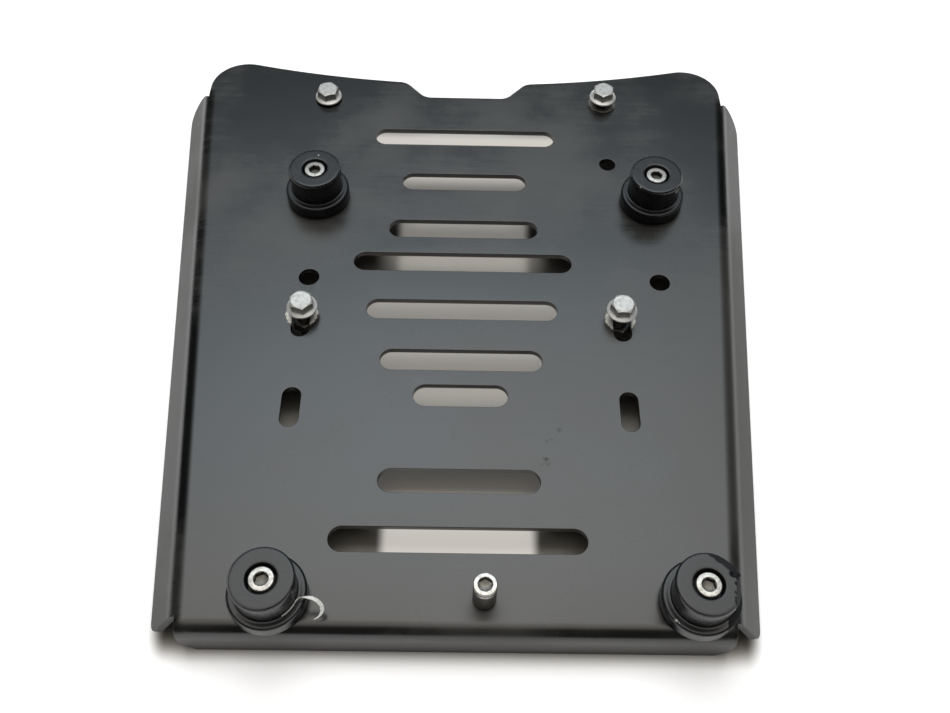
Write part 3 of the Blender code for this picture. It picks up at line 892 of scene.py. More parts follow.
def top_of(node: str) -> Vector:
    """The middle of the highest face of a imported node's box."""
    low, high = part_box(node)
    return Vector((*((low + high) / 2.0).xy, high.z))


def ease(share: float) -> float:
    """A smooth rise from 0 to 1 as the share rises from 0 to 1."""
    return share * share * (3.0 - 2.0 * share)


def ramp(value: float, start: float, length: float) -> float:
    """A straight rise from 0 at the start to 1 a length further on."""
    return max(0.0, min(1.0, (value - start) / length))


def smooth_curve(points: Sequence[Vector], steps: int) -> list[Vector]:
    """A smooth curve through points, with a number of steps from each to the next.

    Args:
        points: the points.
        steps: how many steps lie from one to the next.

    Returns:
        The curve's points, both ends included.
    """
    curve = []
    for i, (first, second) in enumerate(zip(points, points[1:])):
        before = points[max(i - 1, 0)]
        after = points[min(i + 2, len(points) - 1)]
        bend = 2.0 * before - 5.0 * first + 4.0 * second - after
        twist = 3.0 * first - before - 3.0 * second + after
        for j in range(steps):
            t = j / steps
            curve.append(first + ((second - before) * t + bend * t * t + twist * t**3) * 0.5)
    return curve + [points[-1]]


def polar(radius: float, angle: float, height: float) -> Vector:
    """A point at a radius and an angle in radians about the Z axis."""
    return Vector((radius * math.cos(angle), radius * math.sin(angle), height))


def arc(centre: Vector, radius: float, start: float, end: float, steps: int) -> list[Vector]:
    """Points along an arc, both ends included, with angles in radians.

    Args:
        centre: the arc's centre.
        radius: its radius.
        start: the angle of its first point.
        end: the angle of its last point.
        steps: how many straight pieces it has.

    Returns:
        The arc's points.
    """
    points = []
    for i in range(steps + 1):
        angle = start + (end - start) * i / steps
        points.append(centre + Vector((math.cos(angle), math.sin(angle))) * radius)
    return points


def fillet(
    before: Vector, corner: Vector, after: Vector, radius: float, steps: int
) -> list[Vector]:
    """The arc that rounds a corner between two straight runs.

    Args:
        before: a point on the run that leads to the corner.
        corner: the corner.
        after: a point on the run that leads away from it.
        radius: the arc's radius.
        steps: how many straight pieces it has.

    Returns:
        The arc's points, both ends included.
    """
    towards = (before - corner).normalized()
    away = (after - corner).normalized()
    half = math.acos(max(-1.0, min(1.0, towards.dot(away)))) / 2.0
    centre = corner + (towards + away).normalized() * (radius / math.sin(half))
    first = corner + towards * (radius / math.tan(half)) - centre
    last = corner + away * (radius / math.tan(half)) - centre
    start = math.atan2(first.y, first.x)
    sweep = math.remainder(math.atan2(last.y, last.x) - start, TURN)
    return arc(centre, radius, start, start + sweep, steps)


@dataclass(frozen=True)
class Bend:
    """One fold of the sheet about a straight line, away from the deck's top face."""

    origin: Vector
    outward: Vector
    inner_radius: float
    angle: float
    thickness: float

    @property
    def neutral_radius(self) -> float:
        """The radius of the layer that keeps its length."""
        return self.inner_radius + self.thickness / 2.0

    @property
    def arc_length(self) -> float:
        """How much of the blank the bend takes."""
        return self.neutral_radius * self.angle

    def reach(self, point: Vector) -> float:
        """How far a point of the blank lies past the line where the bend starts."""
        return (point - self.origin).dot(self.outward)

    def fold(self, point: Vector) -> Vector:
        """Where a point of the blank, whose top face is at z = 0, lies once it is folded.

        Args:
            point: a point of the flat blank.

        Returns:
            Where it lies once it is folded.
        """
        flat = Vector((point.x, point.y))
        reach = self.reach(flat)
        if reach <= 0.0:
            return point
        angle = min(reach / self.neutral_radius, self.angle)
        rest = max(reach - self.arc_length, 0.0)
        outer = self.inner_radius + self.thickness
        radius = outer + point.z
        out = radius * math.sin(angle) + rest * math.cos(self.angle)
        drop = outer - radius * math.cos(angle) + rest * math.sin(self.angle)
        start = flat + self.outward * (out - reach)
        return Vector((start.x, start.y, -drop))


@dataclass
class FoldedSheet:
    """The plate: a cut blank with rounded edges, folded down along both sides and in front."""

    thickness: float = 0.0030
    length: float = 0.32495
    ear_span: float = 0.2812
    ear_radius: float = 0.0192
    far_arc_radius: float = 0.5300
    notch_depth: float = 0.0109
    notch_floor: float = 0.0446
    notch_side: float = math.radians(45.0)
    notch_fillet: float = 0.0080
    ear_ledge: float = 0.0037
    deck_width_near: float = 0.2117
    near_bend_radius: float = 0.0035
    near_flange_height: float = 0.0195
    near_flange_ledge: float = 0.00345
    near_flange_chamfer: float = 0.0056
    side_bend_radius: float = 0.0060
    side_bend_angle: float = math.radians(50.0)
    side_flange_width: float = 0.01407
    side_corner_near: float = 0.0045
    side_corner_far: float = 0.0125
    side_flange_lead: float = 0.0032
    side_flange_flare: float = 0.0026
    ear_notch_from_far: float = 0.0255
    near_notch_width: float = 0.0008
    near_notch_gap: float = 0.0007
    fade_length: float = 0.0080
    edge_round: float = 0.0003
    slot_width: float = 0.0111
    slots: tuple[tuple[float, float], ...] = (
        (0.2696, 0.0946),
        (0.2375, 0.0633),
        (0.2057, 0.0738),
        (0.1845, 0.1057),
        (0.1559, 0.0899),
        (0.1275, 0.0741),
        (0.1086, 0.0423),
        (0.0665, 0.0688),
        (0.0399, 0.1059),
    )
    bolt_spacing: float = 0.1498
    long_slot_width: float = 0.0083
    long_slot_length: float = 0.0200
    long_slots: tuple[float, ...] = (0.1493, 0.1016)
    bolt_hole: float = 0.0083
    bolt_holes: tuple[float, ...] = (0.2981, 0.2518)
    side_hole: float = 0.0096
    side_holes_at: float = 0.1740
    screw_hole: float = 0.0065
    feet_offset: float = 0.0107
    feet_spacing: float = 0.1688
    feet_at: tuple[float, ...] = (0.2259, 0.0150)
    spigot_at: float = 0.0152
    scuffs: tuple[Scuff, ...] = (
        Scuff(-0.0748, -0.0106, 0.0075, 1.0),
        Scuff(0.0743, -0.0106, 0.0071, 1.0),
        # The last is only a faint pale disc under the far right bolt.
        Scuff(0.0749, 0.1356, 0.0072, 0.25),
    )
    rubs: tuple[Scuff, ...] = (
        Scuff(0.0365, -0.0864, 0.0026, 0.8),
        Scuff(0.0390, -0.0770, 0.0022, 0.7),
        Scuff(0.0420, -0.0690, 0.0030, 0.6),
        Scuff(0.0080, 0.0560, 0.0034, 0.5),
        Scuff(-0.0560, 0.0900, 0.0040, 0.45),
    )
    hole_steps: int = 40
    bend_steps: int = 10
    fade_steps: int = 8
    flat_angle: float = math.radians(0.2)
    merge_distance: float = 0.00001
    score_distance: float = 0.00002
    sharp_degrees: float = 40.0
    deck_top: float = field(init=False)
    near_face: float = field(init=False)

    def __post_init__(self) -> None:
        """Takes the deck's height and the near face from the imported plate."""
        low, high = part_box("plate")
        self.deck_top = high.z
        self.near_face = low.y

    def from_near(self, distance: float) -> float:
        """Y of a place given by its distance from the near flange's face."""
        return self.near_face + distance

    def near_bend(self) -> Bend:
        """The square fold at the near edge.

        Returns:
            The bend.
        """
        outer = self.near_bend_radius + self.thickness
        origin = Vector((0.0, self.near_face + outer))
        down = Vector((0.0, -1.0))
        return Bend(origin, down, self.near_bend_radius, math.pi / 2.0, self.thickness)

    def side_bend(self, hand: Hand) -> Bend:
        """The fold along one side, from the ear's notch to the start of the near bend.

        Args:
            hand: the side.

        Returns:
            The bend.
        """
        side = hand.value
        far_half = self.ear_span / 2.0 - self.ear_ledge
        far = Vector((side * far_half, self.from_near(self.length - self.ear_notch_from_far)))
        near = Vector((side * self.deck_width_near / 2.0, self.near_bend().origin.y))
        along = (near - far).normalized()
        outward = Vector((-along.y, along.x)) * side
        return Bend(far, outward, self.side_bend_radius, self.side_bend_angle, self.thickness)

    def near_flange_half(self) -> float:
        """Half the near flange's width."""
        return self.deck_width_near / 2.0 + self.near_flange_ledge

    def notch_y(self) -> float:
        """Y where the round end of a near corner's notch has its centre."""
        return self.near_bend().origin.y + self.near_notch_gap

    def near_notch(self) -> list[Vector]:
        """The round end of the notch between the right side flange and the near flange.

        Returns:
            The round's points, from the near flange to the side flange.
        """
        radius = self.near_notch_width / 2.0
        centre = Vector((self.near_flange_half() + radius, self.notch_y()))
        return arc(centre, radius, math.pi, 0.0, 6)

    def side_flange(self, bend: Bend) -> list[Vector]:
        """The right side flange's free edge in the blank, from its near end to its far end.

        Args:
            bend: the right side's fold.

        Returns:
            The edge's points.
        """
        along = Vector((bend.outward.y, -bend.outward.x))
        depth = bend.arc_length + self.side_flange_width
        start = self.near_notch()[-1]
        corner = start + bend.outward * (depth - bend.reach(start)) + along * self.side_flange_flare
        far_line = bend.origin - along * self.side_flange_lead
        far_corner = far_line + bend.outward * depth
        end = Vector((self.ear_span / 2.0, bend.origin.y))
        lead = far_line + bend.outward * bend.arc_length
        points = fillet(start, corner, far_corner, self.side_corner_near, 12)
        points += fillet(corner, far_corner, lead, self.side_corner_far, 20)
        points += fillet(far_corner, lead, end, self.side_bend_radius / 2.0, 8)
        return points + [end]

    def far_edge(self) -> list[Vector]:
        """The right half of the far edge: the ear's round, the long hollow arc and the notch.

        Returns:
            The edge's points, from the ear to the middle.
        """
        ear_centre = Vector(
            (self.ear_span / 2.0 - self.ear_radius, self.from_near(self.length - self.ear_radius))
        )
        joined = self.far_arc_radius + self.ear_radius
        arc_centre = Vector((0.0, ear_centre.y + math.sqrt(joined**2 - ear_centre.x**2)))
        meet = (arc_centre - ear_centre).angle_signed(Vector((1.0, 0.0)))
        floor_y = arc_centre.y - self.far_arc_radius - self.notch_depth
        floor_x = self.notch_floor / 2.0
        top_x = floor_x + self.notch_depth / math.tan(self.notch_side)
        start = math.asin(ear_centre.x / joined) - math.pi / 2.0
        end = math.asin(top_x / self.far_arc_radius) - math.pi / 2.0
        long_arc = arc(arc_centre, self.far_arc_radius, start, end, 24)
        floor = Vector((floor_x, floor_y))
        points = arc(ear_centre, self.ear_radius, 0.0, meet, 36)
        points += long_arc[1:-1]
        points += fillet(long_arc[-2], long_arc[-1], floor, self.notch_fillet, 10)
        points += fillet(long_arc[-1], floor, Vector((0.0, floor_y)), self.notch_fillet, 10)
        return points

    def outline(self) -> list[Vector]:
        """The blank's outer edge, with the right half written out and the left mirrored.

        Returns:
            The edge's points, once round.
        """
        near = self.near_bend()
        outer = self.near_bend_radius + self.thickness
        bottom = near.origin.y - near.arc_length - (self.near_flange_height - outer)
        half = self.near_flange_half()
        right = [
            Vector((half - self.near_flange_chamfer, bottom)),
            Vector((half, bottom + self.near_flange_chamfer)),
        ]
        right += self.near_notch()
        right += self.side_flange(self.side_bend(Hand.RIGHT))
        right += self.far_edge()
        return right + [Vector((-point.x, point.y)) for point in reversed(right)]

    def slot(
        self, x: float, y: float, length: float, width: float, lengthwise: bool
    ) -> list[Vector]:
        """A slot's outline: two half rounds joined by straight sides.

        Args:
            x: the X of its middle.
            y: the Y of its middle.
            length: its length over the rounds.
            width: its width.
            lengthwise: whether it runs along Y.

        Returns:
            The outline.
        """
        radius = width / 2.0
        reach = Vector((length / 2.0 - radius, 0.0))
        steps = self.hole_steps // 2
        points = arc(reach, radius, -math.pi / 2.0, math.pi / 2.0, steps)
        points += arc(-reach, radius, math.pi / 2.0, 1.5 * math.pi, steps)
        if lengthwise:
            points = [Vector((-point.y, point.x)) for point in points]
        return [point + Vector((x, y)) for point in points]

    def hole(self, x: float, distance: float, diameter: float) -> list[Vector]:
        """A round hole's outline."""
        centre = Vector((x, self.from_near(distance)))
        return arc(centre, diameter / 2.0, 0.0, TURN, self.hole_steps)[:-1]

    def openings(self) -> list[list[Vector]]:
        """Outlines of every slot and hole in the deck.

        Returns:
            The points of each opening's outline.
        """
        outlines = [
            self.slot(0.0, self.from_near(at), length, self.slot_width, False)
            for at, length in self.slots
        ]
        for hand in Hand:
            x = hand.value * self.bolt_spacing / 2.0
            for at in self.long_slots:
                y = self.from_near(at)
                outlines.append(self.slot(x, y, self.long_slot_length, self.long_slot_width, True))
            outlines += [self.hole(x, at, self.bolt_hole) for at in self.bolt_holes]
            x = self.feet_offset + hand.value * self.feet_spacing / 2.0
            outlines.append(self.hole(x, self.side_holes_at, self.side_hole))
            outlines += [self.hole(x, at, self.screw_hole) for at in self.feet_at]
        outlines.append(self.hole(self.feet_offset, self.spigot_at, self.screw_hole))
        return outlines

    def blank(self) -> bmesh.types.BMesh:
        """The cut blank with rounded edges, its top face at z = 0.

        Returns:
            The blank's shape.
        """
        curve = bpy.data.curves.new("blank", "CURVE")
        curve.dimensions = "2D"
        curve.fill_mode = "BOTH"
        curve.extrude = self.thickness / 2.0 - self.edge_round
        curve.bevel_depth = self.edge_round
        curve.bevel_resolution = 1
        curve.offset = -self.edge_round
        for outline in [self.outline()] + self.openings():
            spline = curve.splines.new("POLY")
            spline.points.add(len(outline) - 1)
            for point, place in zip(spline.points, outline):
                point.co = (place.x, place.y, 0.0, 1.0)
            spline.use_cyclic_u = True
        drawn = new_object("blank", curve)
        graph = bpy.context.evaluated_depsgraph_get()
        flat = bpy.data.meshes.new_from_object(drawn.evaluated_get(graph), depsgraph=graph)
        bm = bmesh.new()
        bm.from_mesh(flat)
        bpy.data.objects.remove(drawn)
        bpy.data.meshes.remove(flat)
        bmesh.ops.translate(bm, vec=(0.0, 0.0, -self.thickness / 2.0), verts=bm.verts)
        bmesh.ops.remove_doubles(bm, verts=bm.verts, dist=self.merge_distance)
        return bm

    def score(self, bm: bmesh.types.BMesh, place: Vector, normal: Vector) -> None:
        """Cuts the blank's faces along one straight line, square to the given direction.

        Args:
            bm: the blank.
            place: a point of the line.
            normal: the direction square to it.
        """
        bmesh.ops.bisect_plane(
            bm,
            geom=bm.verts[:] + bm.edges[:] + bm.faces[:],
            dist=self.score_distance,
            plane_co=(place.x, place.y, 0.0),
            plane_no=(normal.x, normal.y, 0.0),
        )

    def fold_share(self, point: Vector, bend: Bend) -> float:
        """How much of a side's fold a point takes, fading out past the notches at its ends.

        Args:
            point: a point of the blank.
            bend: the fold of its side.

        Returns:
            The share, from 0 to 1.
        """
        if point.y > bend.origin.y:
            beside = abs(point.x) > self.ear_span / 2.0 + self.edge_round
            past = point.y - bend.origin.y
        else:
            beside = abs(point.x) > self.near_flange_half() + self.near_notch_width / 2.0
            past = self.notch_y() - point.y
        if beside or past <= 0.0:
            return 1.0
        return 1.0 - ease(min(past / self.fade_length, 1.0))

    def folded(self) -> bpy.types.Mesh:
        """The blank with its three flanges folded down, in the model's frame.

        Returns:
            The sheet's mesh.
        """
        near = self.near_bend()
        sides = {hand: self.side_bend(hand) for hand in Hand}
        bm = self.blank()
        bmesh.ops.dissolve_limit(bm, angle_limit=self.flat_angle, verts=bm.verts, edges=bm.edges)
        for bend in (near, *sides.values()):
            for i in range(self.bend_steps + 1):
                reach = bend.arc_length * i / self.bend_steps
                self.score(bm, bend.origin + bend.outward * reach, bend.outward)
        up = Vector((0.0, 1.0))
        for i in range(self.fade_steps + 1):
            reach = self.fade_length * i / self.fade_steps
            self.score(bm, sides[Hand.RIGHT].origin + up * reach, up)
        half = self.near_flange_half() + self.near_notch_width / 2.0
        for vertex in bm.verts:
            bend = sides[Hand.RIGHT if vertex.co.x > 0.0 else Hand.LEFT]
            share = self.fold_share(vertex.co, bend)
            beside = abs(vertex.co.x) > half
            vertex.co = vertex.co.lerp(bend.fold(vertex.co), share)
            if not beside:
                vertex.co = near.fold(vertex.co)
            vertex.co.z += self.deck_top
        bmesh.ops.triangulate(bm, faces=bm.faces, ngon_method="BEAUTY")
        return smooth_mesh(bm, "folded_sheet", self.sharp_degrees)

    def build(self) -> None:
        """Makes the sheet and dresses it, with its flat faces kept flat in the shading."""
        paint = SatinPaint("satin_black_paint", Slot.PAINT, self.deck_top, self.scuffs, self.rubs)
        piece = add_piece("painted_sheet", self.folded(), paint, stands_for="plate")
        weighted = piece.modifiers.new("flat_faces", "WEIGHTED_NORMAL")
        weighted.keep_sharp = True


@dataclass(frozen=True)
class FootWear:
    """What one foot has been through."""

    facets: tuple[TornFacet, ...] = ()
    dents: tuple[Dent, ...] = ()
    nicks: tuple[Nick, ...] = ()


@dataclass
class RubberFeet:
    """The four turned feet with their screws, washers and nuts."""

    height: float = 0.0200
    flange_radius: float = 0.0157
    flange_height: float = 0.0067
    body_radius: float = 0.0129
    waist_radius: float = 0.01235
    top_radius: float = 0.0118
    edge: float = 0.0011
    counterbore: float = 0.00615
    bore: float = 0.0033
    seat: float = 0.0111
    segments: int = 120
    skin_step: float = 0.0007
    ruffle_waves: float = 900.0
    torn_edge_ruffle: float = 0.00015
    torn_face_ruffle: float = 0.0003
    sliver: float = 0.000015
    curl_radius: float = 0.00115
    curl_thickness: float = 0.00056
    curl_place: Point = (0.0107, 0.0036, -0.0010)
    curl_steps: int = 28
    curl_sides: int = 12
    screw_turn: float = math.radians(17.0)
    wear: dict[str, FootWear] = field(
        default_factory=lambda: {
            "far_left": FootWear(
                dents=(Dent((-0.0122, -0.0075, 0.0125), 0.0016, (-0.0012, -0.0007, 0.0)),),
                nicks=(Nick((0.0012, 0.0086, 0.0200), 0.00035),),
            ),
            "far_right": FootWear(
                dents=(
                    Dent((0.0100, -0.0078, 0.0175), 0.0026, (-0.0007, 0.0006, -0.0002)),
                    Dent((-0.0085, -0.0088, 0.0192), 0.0012, (0.0004, 0.0004, -0.0003)),
                ),
                nicks=(
                    Nick((-0.0085, -0.0084, 0.0192), 0.0006),
                    Nick((0.0118, -0.0046, 0.0176), 0.0004),
                    Nick((0.0113, -0.0057, 0.0172), 0.0005),
                    Nick((0.0107, -0.0067, 0.0168), 0.0005),
                    Nick((0.0100, -0.0077, 0.0166), 0.0004),
                ),
            ),
            "near_left": FootWear(
                nicks=(Nick((0.0121, -0.0022, 0.0135), 0.0008),),
            ),
            "near_right": FootWear(
                facets=(
                    TornFacet(math.radians(50.0), 0.0098, 0.5),
                    TornFacet(math.radians(-8.0), 0.0101, 1.7),
                ),
                dents=(Dent((0.0098, 0.0042, 0.0200), 0.0017, (0.0, 0.0, -0.0010)),),
                nicks=(
                    Nick((-0.0112, -0.0098, 0.0072), 0.0009),
                    Nick((-0.0102, -0.0108, 0.0072), 0.0007),
                ),
            ),
        }
    )

    def outline(self) -> list[tuple[float, float]]:
        """The foot's half section, from the counterbore's lip over the outside to the seat.

        Returns:
            The radius and height of each corner.
        """
        edge = self.edge
        crown = [
            (self.top_radius, self.height),
            (self.top_radius + edge * 0.35, self.height - edge * 0.09),
            (self.body_radius - edge * 0.35, self.height - edge * 0.45),
            (self.body_radius - edge * 0.09, self.height - edge * 0.9),
            (self.body_radius, self.height - edge * 1.5),
        ]
        waist = [
            (self.waist_radius, self.flange_height + edge * 0.4),
            (self.waist_radius + edge * 0.12, self.flange_height + edge * 0.12),
            (self.waist_radius + edge * 0.4, self.flange_height),
        ]
        foot = [
            (self.flange_radius - edge, self.flange_height),
            (self.flange_radius - edge * 0.5, self.flange_height - edge * 0.13),
            (self.flange_radius - edge * 0.13, self.flange_height - edge * 0.5),
            (self.flange_radius, self.flange_height - edge),
            (self.flange_radius, edge * 0.6),
            (self.flange_radius - edge * 0.6, 0.0),
        ]
        return crown + waist + foot

    def skin(self) -> bmesh.types.BMesh:
        """The whole foot, turned, with enough points in its skin to be dented.

        Returns:
            The foot's shape.
        """
        edge = self.edge
        mouth = self.counterbore
        lip = self.height - edge * 0.3
        rings = Rings(self.segments)
        outside = [(mouth + edge * 0.3, self.height)] + self.outline()
        rings.profile(divided(outside, self.skin_step))
        rings.profile([(self.bore, 0.0), (self.bore, self.seat), (mouth, self.seat)])
        rings.profile([(mouth, lip), (mouth + edge * 0.08, lip + edge * 0.2)])
        return rings.shape(closed=True)

    def wear_in(self, bm: bmesh.types.BMesh, wear: FootWear) -> None:
        """Tears, dents and ruffles a foot's skin.

        Args:
            bm: the foot.
            wear: what it has been through.
        """
        for vertex in bm.verts:
            point = vertex.co
            ruffle = noise.noise(point * self.ruffle_waves)
            for facet in wear.facets:
                excess = point.dot(facet.direction()) - facet.distance
                excess += ruffle * self.torn_edge_ruffle
                if excess > 0.0 and point.length > self.counterbore:
                    torn = self.height - excess * facet.slope + ruffle * self.torn_face_ruffle
                    point.z = min(point.z, max(torn, self.flange_height + self.edge * 2.0))
            for dent in wear.dents:
                near = 1.0 - (point - Vector(dent.place)).length / dent.radius
                if near > 0.0:
                    point += Vector(dent.push) * ease(near) * (1.0 + ruffle * 0.6)
        bmesh.ops.dissolve_degenerate(bm, edges=bm.edges, dist=self.sliver)

    def curl(self) -> bpy.types.Mesh:
        """The little loop of torn rubber that stands at the edge of the near right foot.

        Returns:
            The curl's mesh.
        """
        sections = []
        for i in range(self.curl_steps):
            turn = TURN * i / self.curl_steps
            swell = 1.0 + 0.18 * noise.noise(polar(1.0, turn, 0.3) * 2.0)
            out = Vector((math.cos(turn) * 0.9, math.sin(turn), 0.25 * math.cos(turn)))
            ring = []
            for j in range(self.curl_sides):
                lean = TURN * j / self.curl_sides
                offset = out * math.cos(lean) + UP * math.sin(lean)
                point = out * self.curl_radius + offset * self.curl_thickness
                ring.append(point * swell)
            sections.append(ring)
        return smooth_mesh(skinned(sections, closed=True), "torn_curl")

    def build(self) -> None:
        """Makes the feet, each with its screw, washer and nut."""
        screw = CapScrew(0.0100, 0.0060, 0.0030, 0.0250)
        screw_mesh = screw.mesh("foot_cap_screw")
        washer_mesh = washer("foot_seat_washer")
        nut_mesh = HexNut().mesh()
        for i, (where, wear) in enumerate(self.wear.items()):
            turn = self.screw_turn * (i + 1)
            bm = self.skin()
            self.wear_in(bm, wear)
            name = f"turned_foot_{where}"
            rubber = MouldedRubber(f"rubber_{where}", Slot.RUBBER, wear.nicks, wear.facets)
            foot = f"foot_{where}"
            add_piece(name, smooth_mesh(bm, name), rubber, bottom_of(foot), 0.0, foot)
            node = f"foot_screw_{where}"
            at = top_of(node) - UP * screw.head_height
            add_piece(f"cap_screw_{where}", screw_mesh, FOOT_STEEL, at, turn, node)
            node = f"foot_washer_{where}"
            name = f"seat_washer_{where}"
            add_piece(name, washer_mesh, SHADE_DARK_WASHER_STEEL, bottom_of(node), 0.0, node)
            node = f"foot_nut_{where}"
            add_piece(f"foot_hex_nut_{where}", nut_mesh, SHADE_DARK_NUT_ZINC, top_of(node), turn, node)
        rubber = MouldedRubber("rubber_curl", Slot.RUBBER, tears=(TORN_ALL_OVER,))
        at = top_of("foot_near_right") + Vector(self.curl_place)
        add_piece("torn_curl_near_right", self.curl(), rubber, at)


def washer(name: str) -> bpy.types.Mesh:
    """A flat washer that lies on z = 0.

    Args:
        name: the mesh's name.

    Returns:
        The mesh.
    """
    inner, outer, thickness, edge = 0.00325, 0.00595, 0.0016, 0.00015
    rings = Rings(48)
    rings.profile([(inner + edge, thickness), (outer - edge, thickness), (outer, thickness - edge)])
    rings.profile([(outer, edge), (outer - edge, 0.0), (inner + edge, 0.0)])
    rings.profile([(inner, edge), (inner, thickness - edge)])
    return rings.mesh(name, closed=True)


@dataclass(frozen=True)
class Thread:
    """An M6 thread under a head that sits on z = 0."""

    radius: float = 0.00295
    depth: float = 0.00055
    pitch: float = 0.0010
    tip: float = 0.0005
    neck: tuple[float, float] = (0.0003, 0.0004)
    lead: float = 0.0010

    def cut(self, rings: Rings, length: float) -> None:
        """Adds the neck, the threaded shank and its chamfered end to a body.

        Args:
            rings: the body, down to the underside of its head.
            length: how far the shank reaches under the head.
        """
        flare, drop = self.neck
        rings.profile([(self.radius + flare, 0.0), (self.radius, -drop)])
        rings.thread(self.radius, self.depth, -self.lead, self.tip - length, self.pitch)
        rings.ring(self.radius - self.depth, -length)
        rings.tip(-length)


@dataclass(frozen=True)
class CapScrew:
    """A socket head cap screw whose head sits on z = 0."""

    head_diameter: float
    head_height: float
    socket_depth: float
    length: float
    socket: float = 0.0050
    socket_mouth: float = 1.04
    socket_chamfer: float = 0.6
    drill_depth: float = 0.0007
    edge: float = 0.0005
    under_edge: float = 0.0002
    teeth: int = 0
    knurl_depth: float = 0.00012
    knurl_ends: tuple[float, float] = (0.0009, 0.0004)
    thread: Thread = Thread()

    def mesh(self, name: str) -> bpy.types.Mesh:
        """The screw, from the bottom of its socket over the head to the tip.

        Args:
            name: the mesh's name.

        Returns:
            The mesh.
        """
        head = self.head_diameter / 2.0
        top = self.head_height
        edge = self.edge
        hollow = hexagon(self.socket)
        mouth = self.socket / math.sqrt(3.0) * self.socket_mouth
        lip = top - 0.00005
        floor = top - self.socket_depth
        rings = Rings(max(48, self.teeth * 2))
        rings.tip(floor - self.drill_depth)
        rings.ring(self.socket * 0.44, floor - 0.0001)
        rings.ring(hollow, floor)
        rings.ring(hollow, lambda angle: lip - (mouth - hollow(angle)) * self.socket_chamfer)
        rings.ring(mouth, top)
        for i in range(5):
            lean = math.pi / 2.0 * i / 4
            level = top - edge * (1.0 - math.cos(lean))
            rings.ring(head - edge * (1.0 - math.sin(lean)), level)
        if self.teeth:
            knurl = self.knurl(head)
            under_top, above_seat = self.knurl_ends
            rings.ring(knurl, top - under_top)
            rings.ring(knurl, above_seat)
        rings.profile([(head, self.under_edge), (head - self.under_edge, 0.0)])
        self.thread.cut(rings, self.length)
        return rings.mesh(name)

    def knurl(self, head: float) -> Callable[[float], float]:
        """The head's radius at an angle where its side is knurled."""
        groove = self.knurl_depth / 2.0
        return lambda angle: head - groove * (1.0 - math.cos(angle * self.teeth))


@dataclass(frozen=True)
class HexNut:
    """A plain hexagon nut that hangs under z = 0."""

    across_flats: float = 0.0100
    height: float = 0.0050
    bore: float = 0.00325
    bore_edge: float = 0.0004
    face: float = 0.00475

    def mesh(self) -> bpy.types.Mesh:
        """The nut, chamfered on both faces.

        Returns:
            The mesh.
        """
        sides = hexagon(self.across_flats)
        edge = self.bore_edge
        wide = self.bore + edge

        def chamfer(angle: float) -> float:
            """How far the chamfer falls away at an angle."""
            return (sides(angle) - self.face) * CHAMFER_SLOPE

        rings = Rings(48)
        rings.profile([(self.bore, -edge), (wide, 0.0), (self.face, 0.0)])
        rings.ring(sides, lambda angle: -chamfer(angle))
        rings.ring(sides, lambda angle: chamfer(angle) - self.height)
        rings.profile([(self.face, -self.height), (wide, -self.height)])
        rings.ring(self.bore, edge - self.height)
        return rings.mesh("hex_nut", closed=True)


@dataclass(frozen=True)
class FlangeBolt:
    """A hexagon bolt with a sloped round flange that sits on z = 0."""

    across_flats: float = 0.0100
    head_height: float = 0.0060
    face: float = 0.00475
    flange_radius: float = 0.0071
    flange_thickness: float = 0.0011
    flange_slope: float = math.radians(28.0)
    root: float = 0.00025
    length: float = 0.0200
    thread: Thread = Thread()

    def flange_top(self, radius: float) -> float:
        """The height of the flange's sloped top at a radius.

        Args:
            radius: the distance from the bolt's axis.

        Returns:
            The height.
        """
        rim = self.flange_radius - self.flange_thickness / 3.0
        peak = (self.flange_radius - self.face) * math.tan(self.flange_slope)
        return self.flange_thickness + peak * (rim - radius) / (rim - self.face)

    def mesh(self) -> bpy.types.Mesh:
        """The bolt, from the top of its head to the tip.

        Returns:
            The mesh.
        """
        sides = hexagon(self.across_flats)
        root = self.root
        thin = self.flange_thickness
        rim = self.flange_radius

        def crown(angle: float) -> float:
            """The height of the head's chamfered top at an angle."""
            return self.head_height - (sides(angle) - self.face) * CHAMFER_SLOPE

        rings = Rings(48)
        rings.tip(self.head_height)
        rings.ring(self.face - 0.00015, self.head_height)
        rings.ring(lambda angle: sides(angle) - 0.00006, crown)
        rings.ring(sides, lambda angle: crown(angle) - 0.0001)
        rings.ring(sides, lambda angle: self.flange_top(sides(angle)) + root)
        rings.ring(
            lambda angle: sides(angle) + root,
            lambda angle: self.flange_top(sides(angle) + root),
        )
        rings.profile([(rim - thin / 3.0, thin), (rim - thin / 9.0, thin * 0.86)])
        rings.profile([(rim, thin * 0.6), (rim, thin * 0.25), (rim - thin * 0.25, 0.0)])
        self.thread.cut(rings, self.length)
        return rings.mesh("flange_bolt_body")


@dataclass
class LooseBolts:
    """The four flange bolts that stand in the far holes and the side slots, with their nuts."""

    turns: dict[str, float] = field(
        default_factory=lambda: {
            "far_left": math.radians(-11.0),
            "far_right": math.radians(-6.0),
            "mid_left": math.radians(12.0),
            "mid_right": math.radians(30.0),
        }
    )

    def build(self) -> None:
        """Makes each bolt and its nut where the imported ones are."""
        bolt = FlangeBolt()
        bolt_mesh = bolt.mesh()
        nut_mesh = HexNut().mesh()
        for where, turn in self.turns.items():
            node = f"flange_bolt_{where}"
            at = top_of(node) - UP * bolt.head_height
            add_piece(f"loose_bolt_{where}", bolt_mesh, BOLT_ZINC, at, turn, node)
            node = f"bolt_nut_{where}"
            add_piece(f"loose_nut_{where}", nut_mesh, SHADE_DARK_NUT_ZINC, top_of(node), turn / 2.0, node)


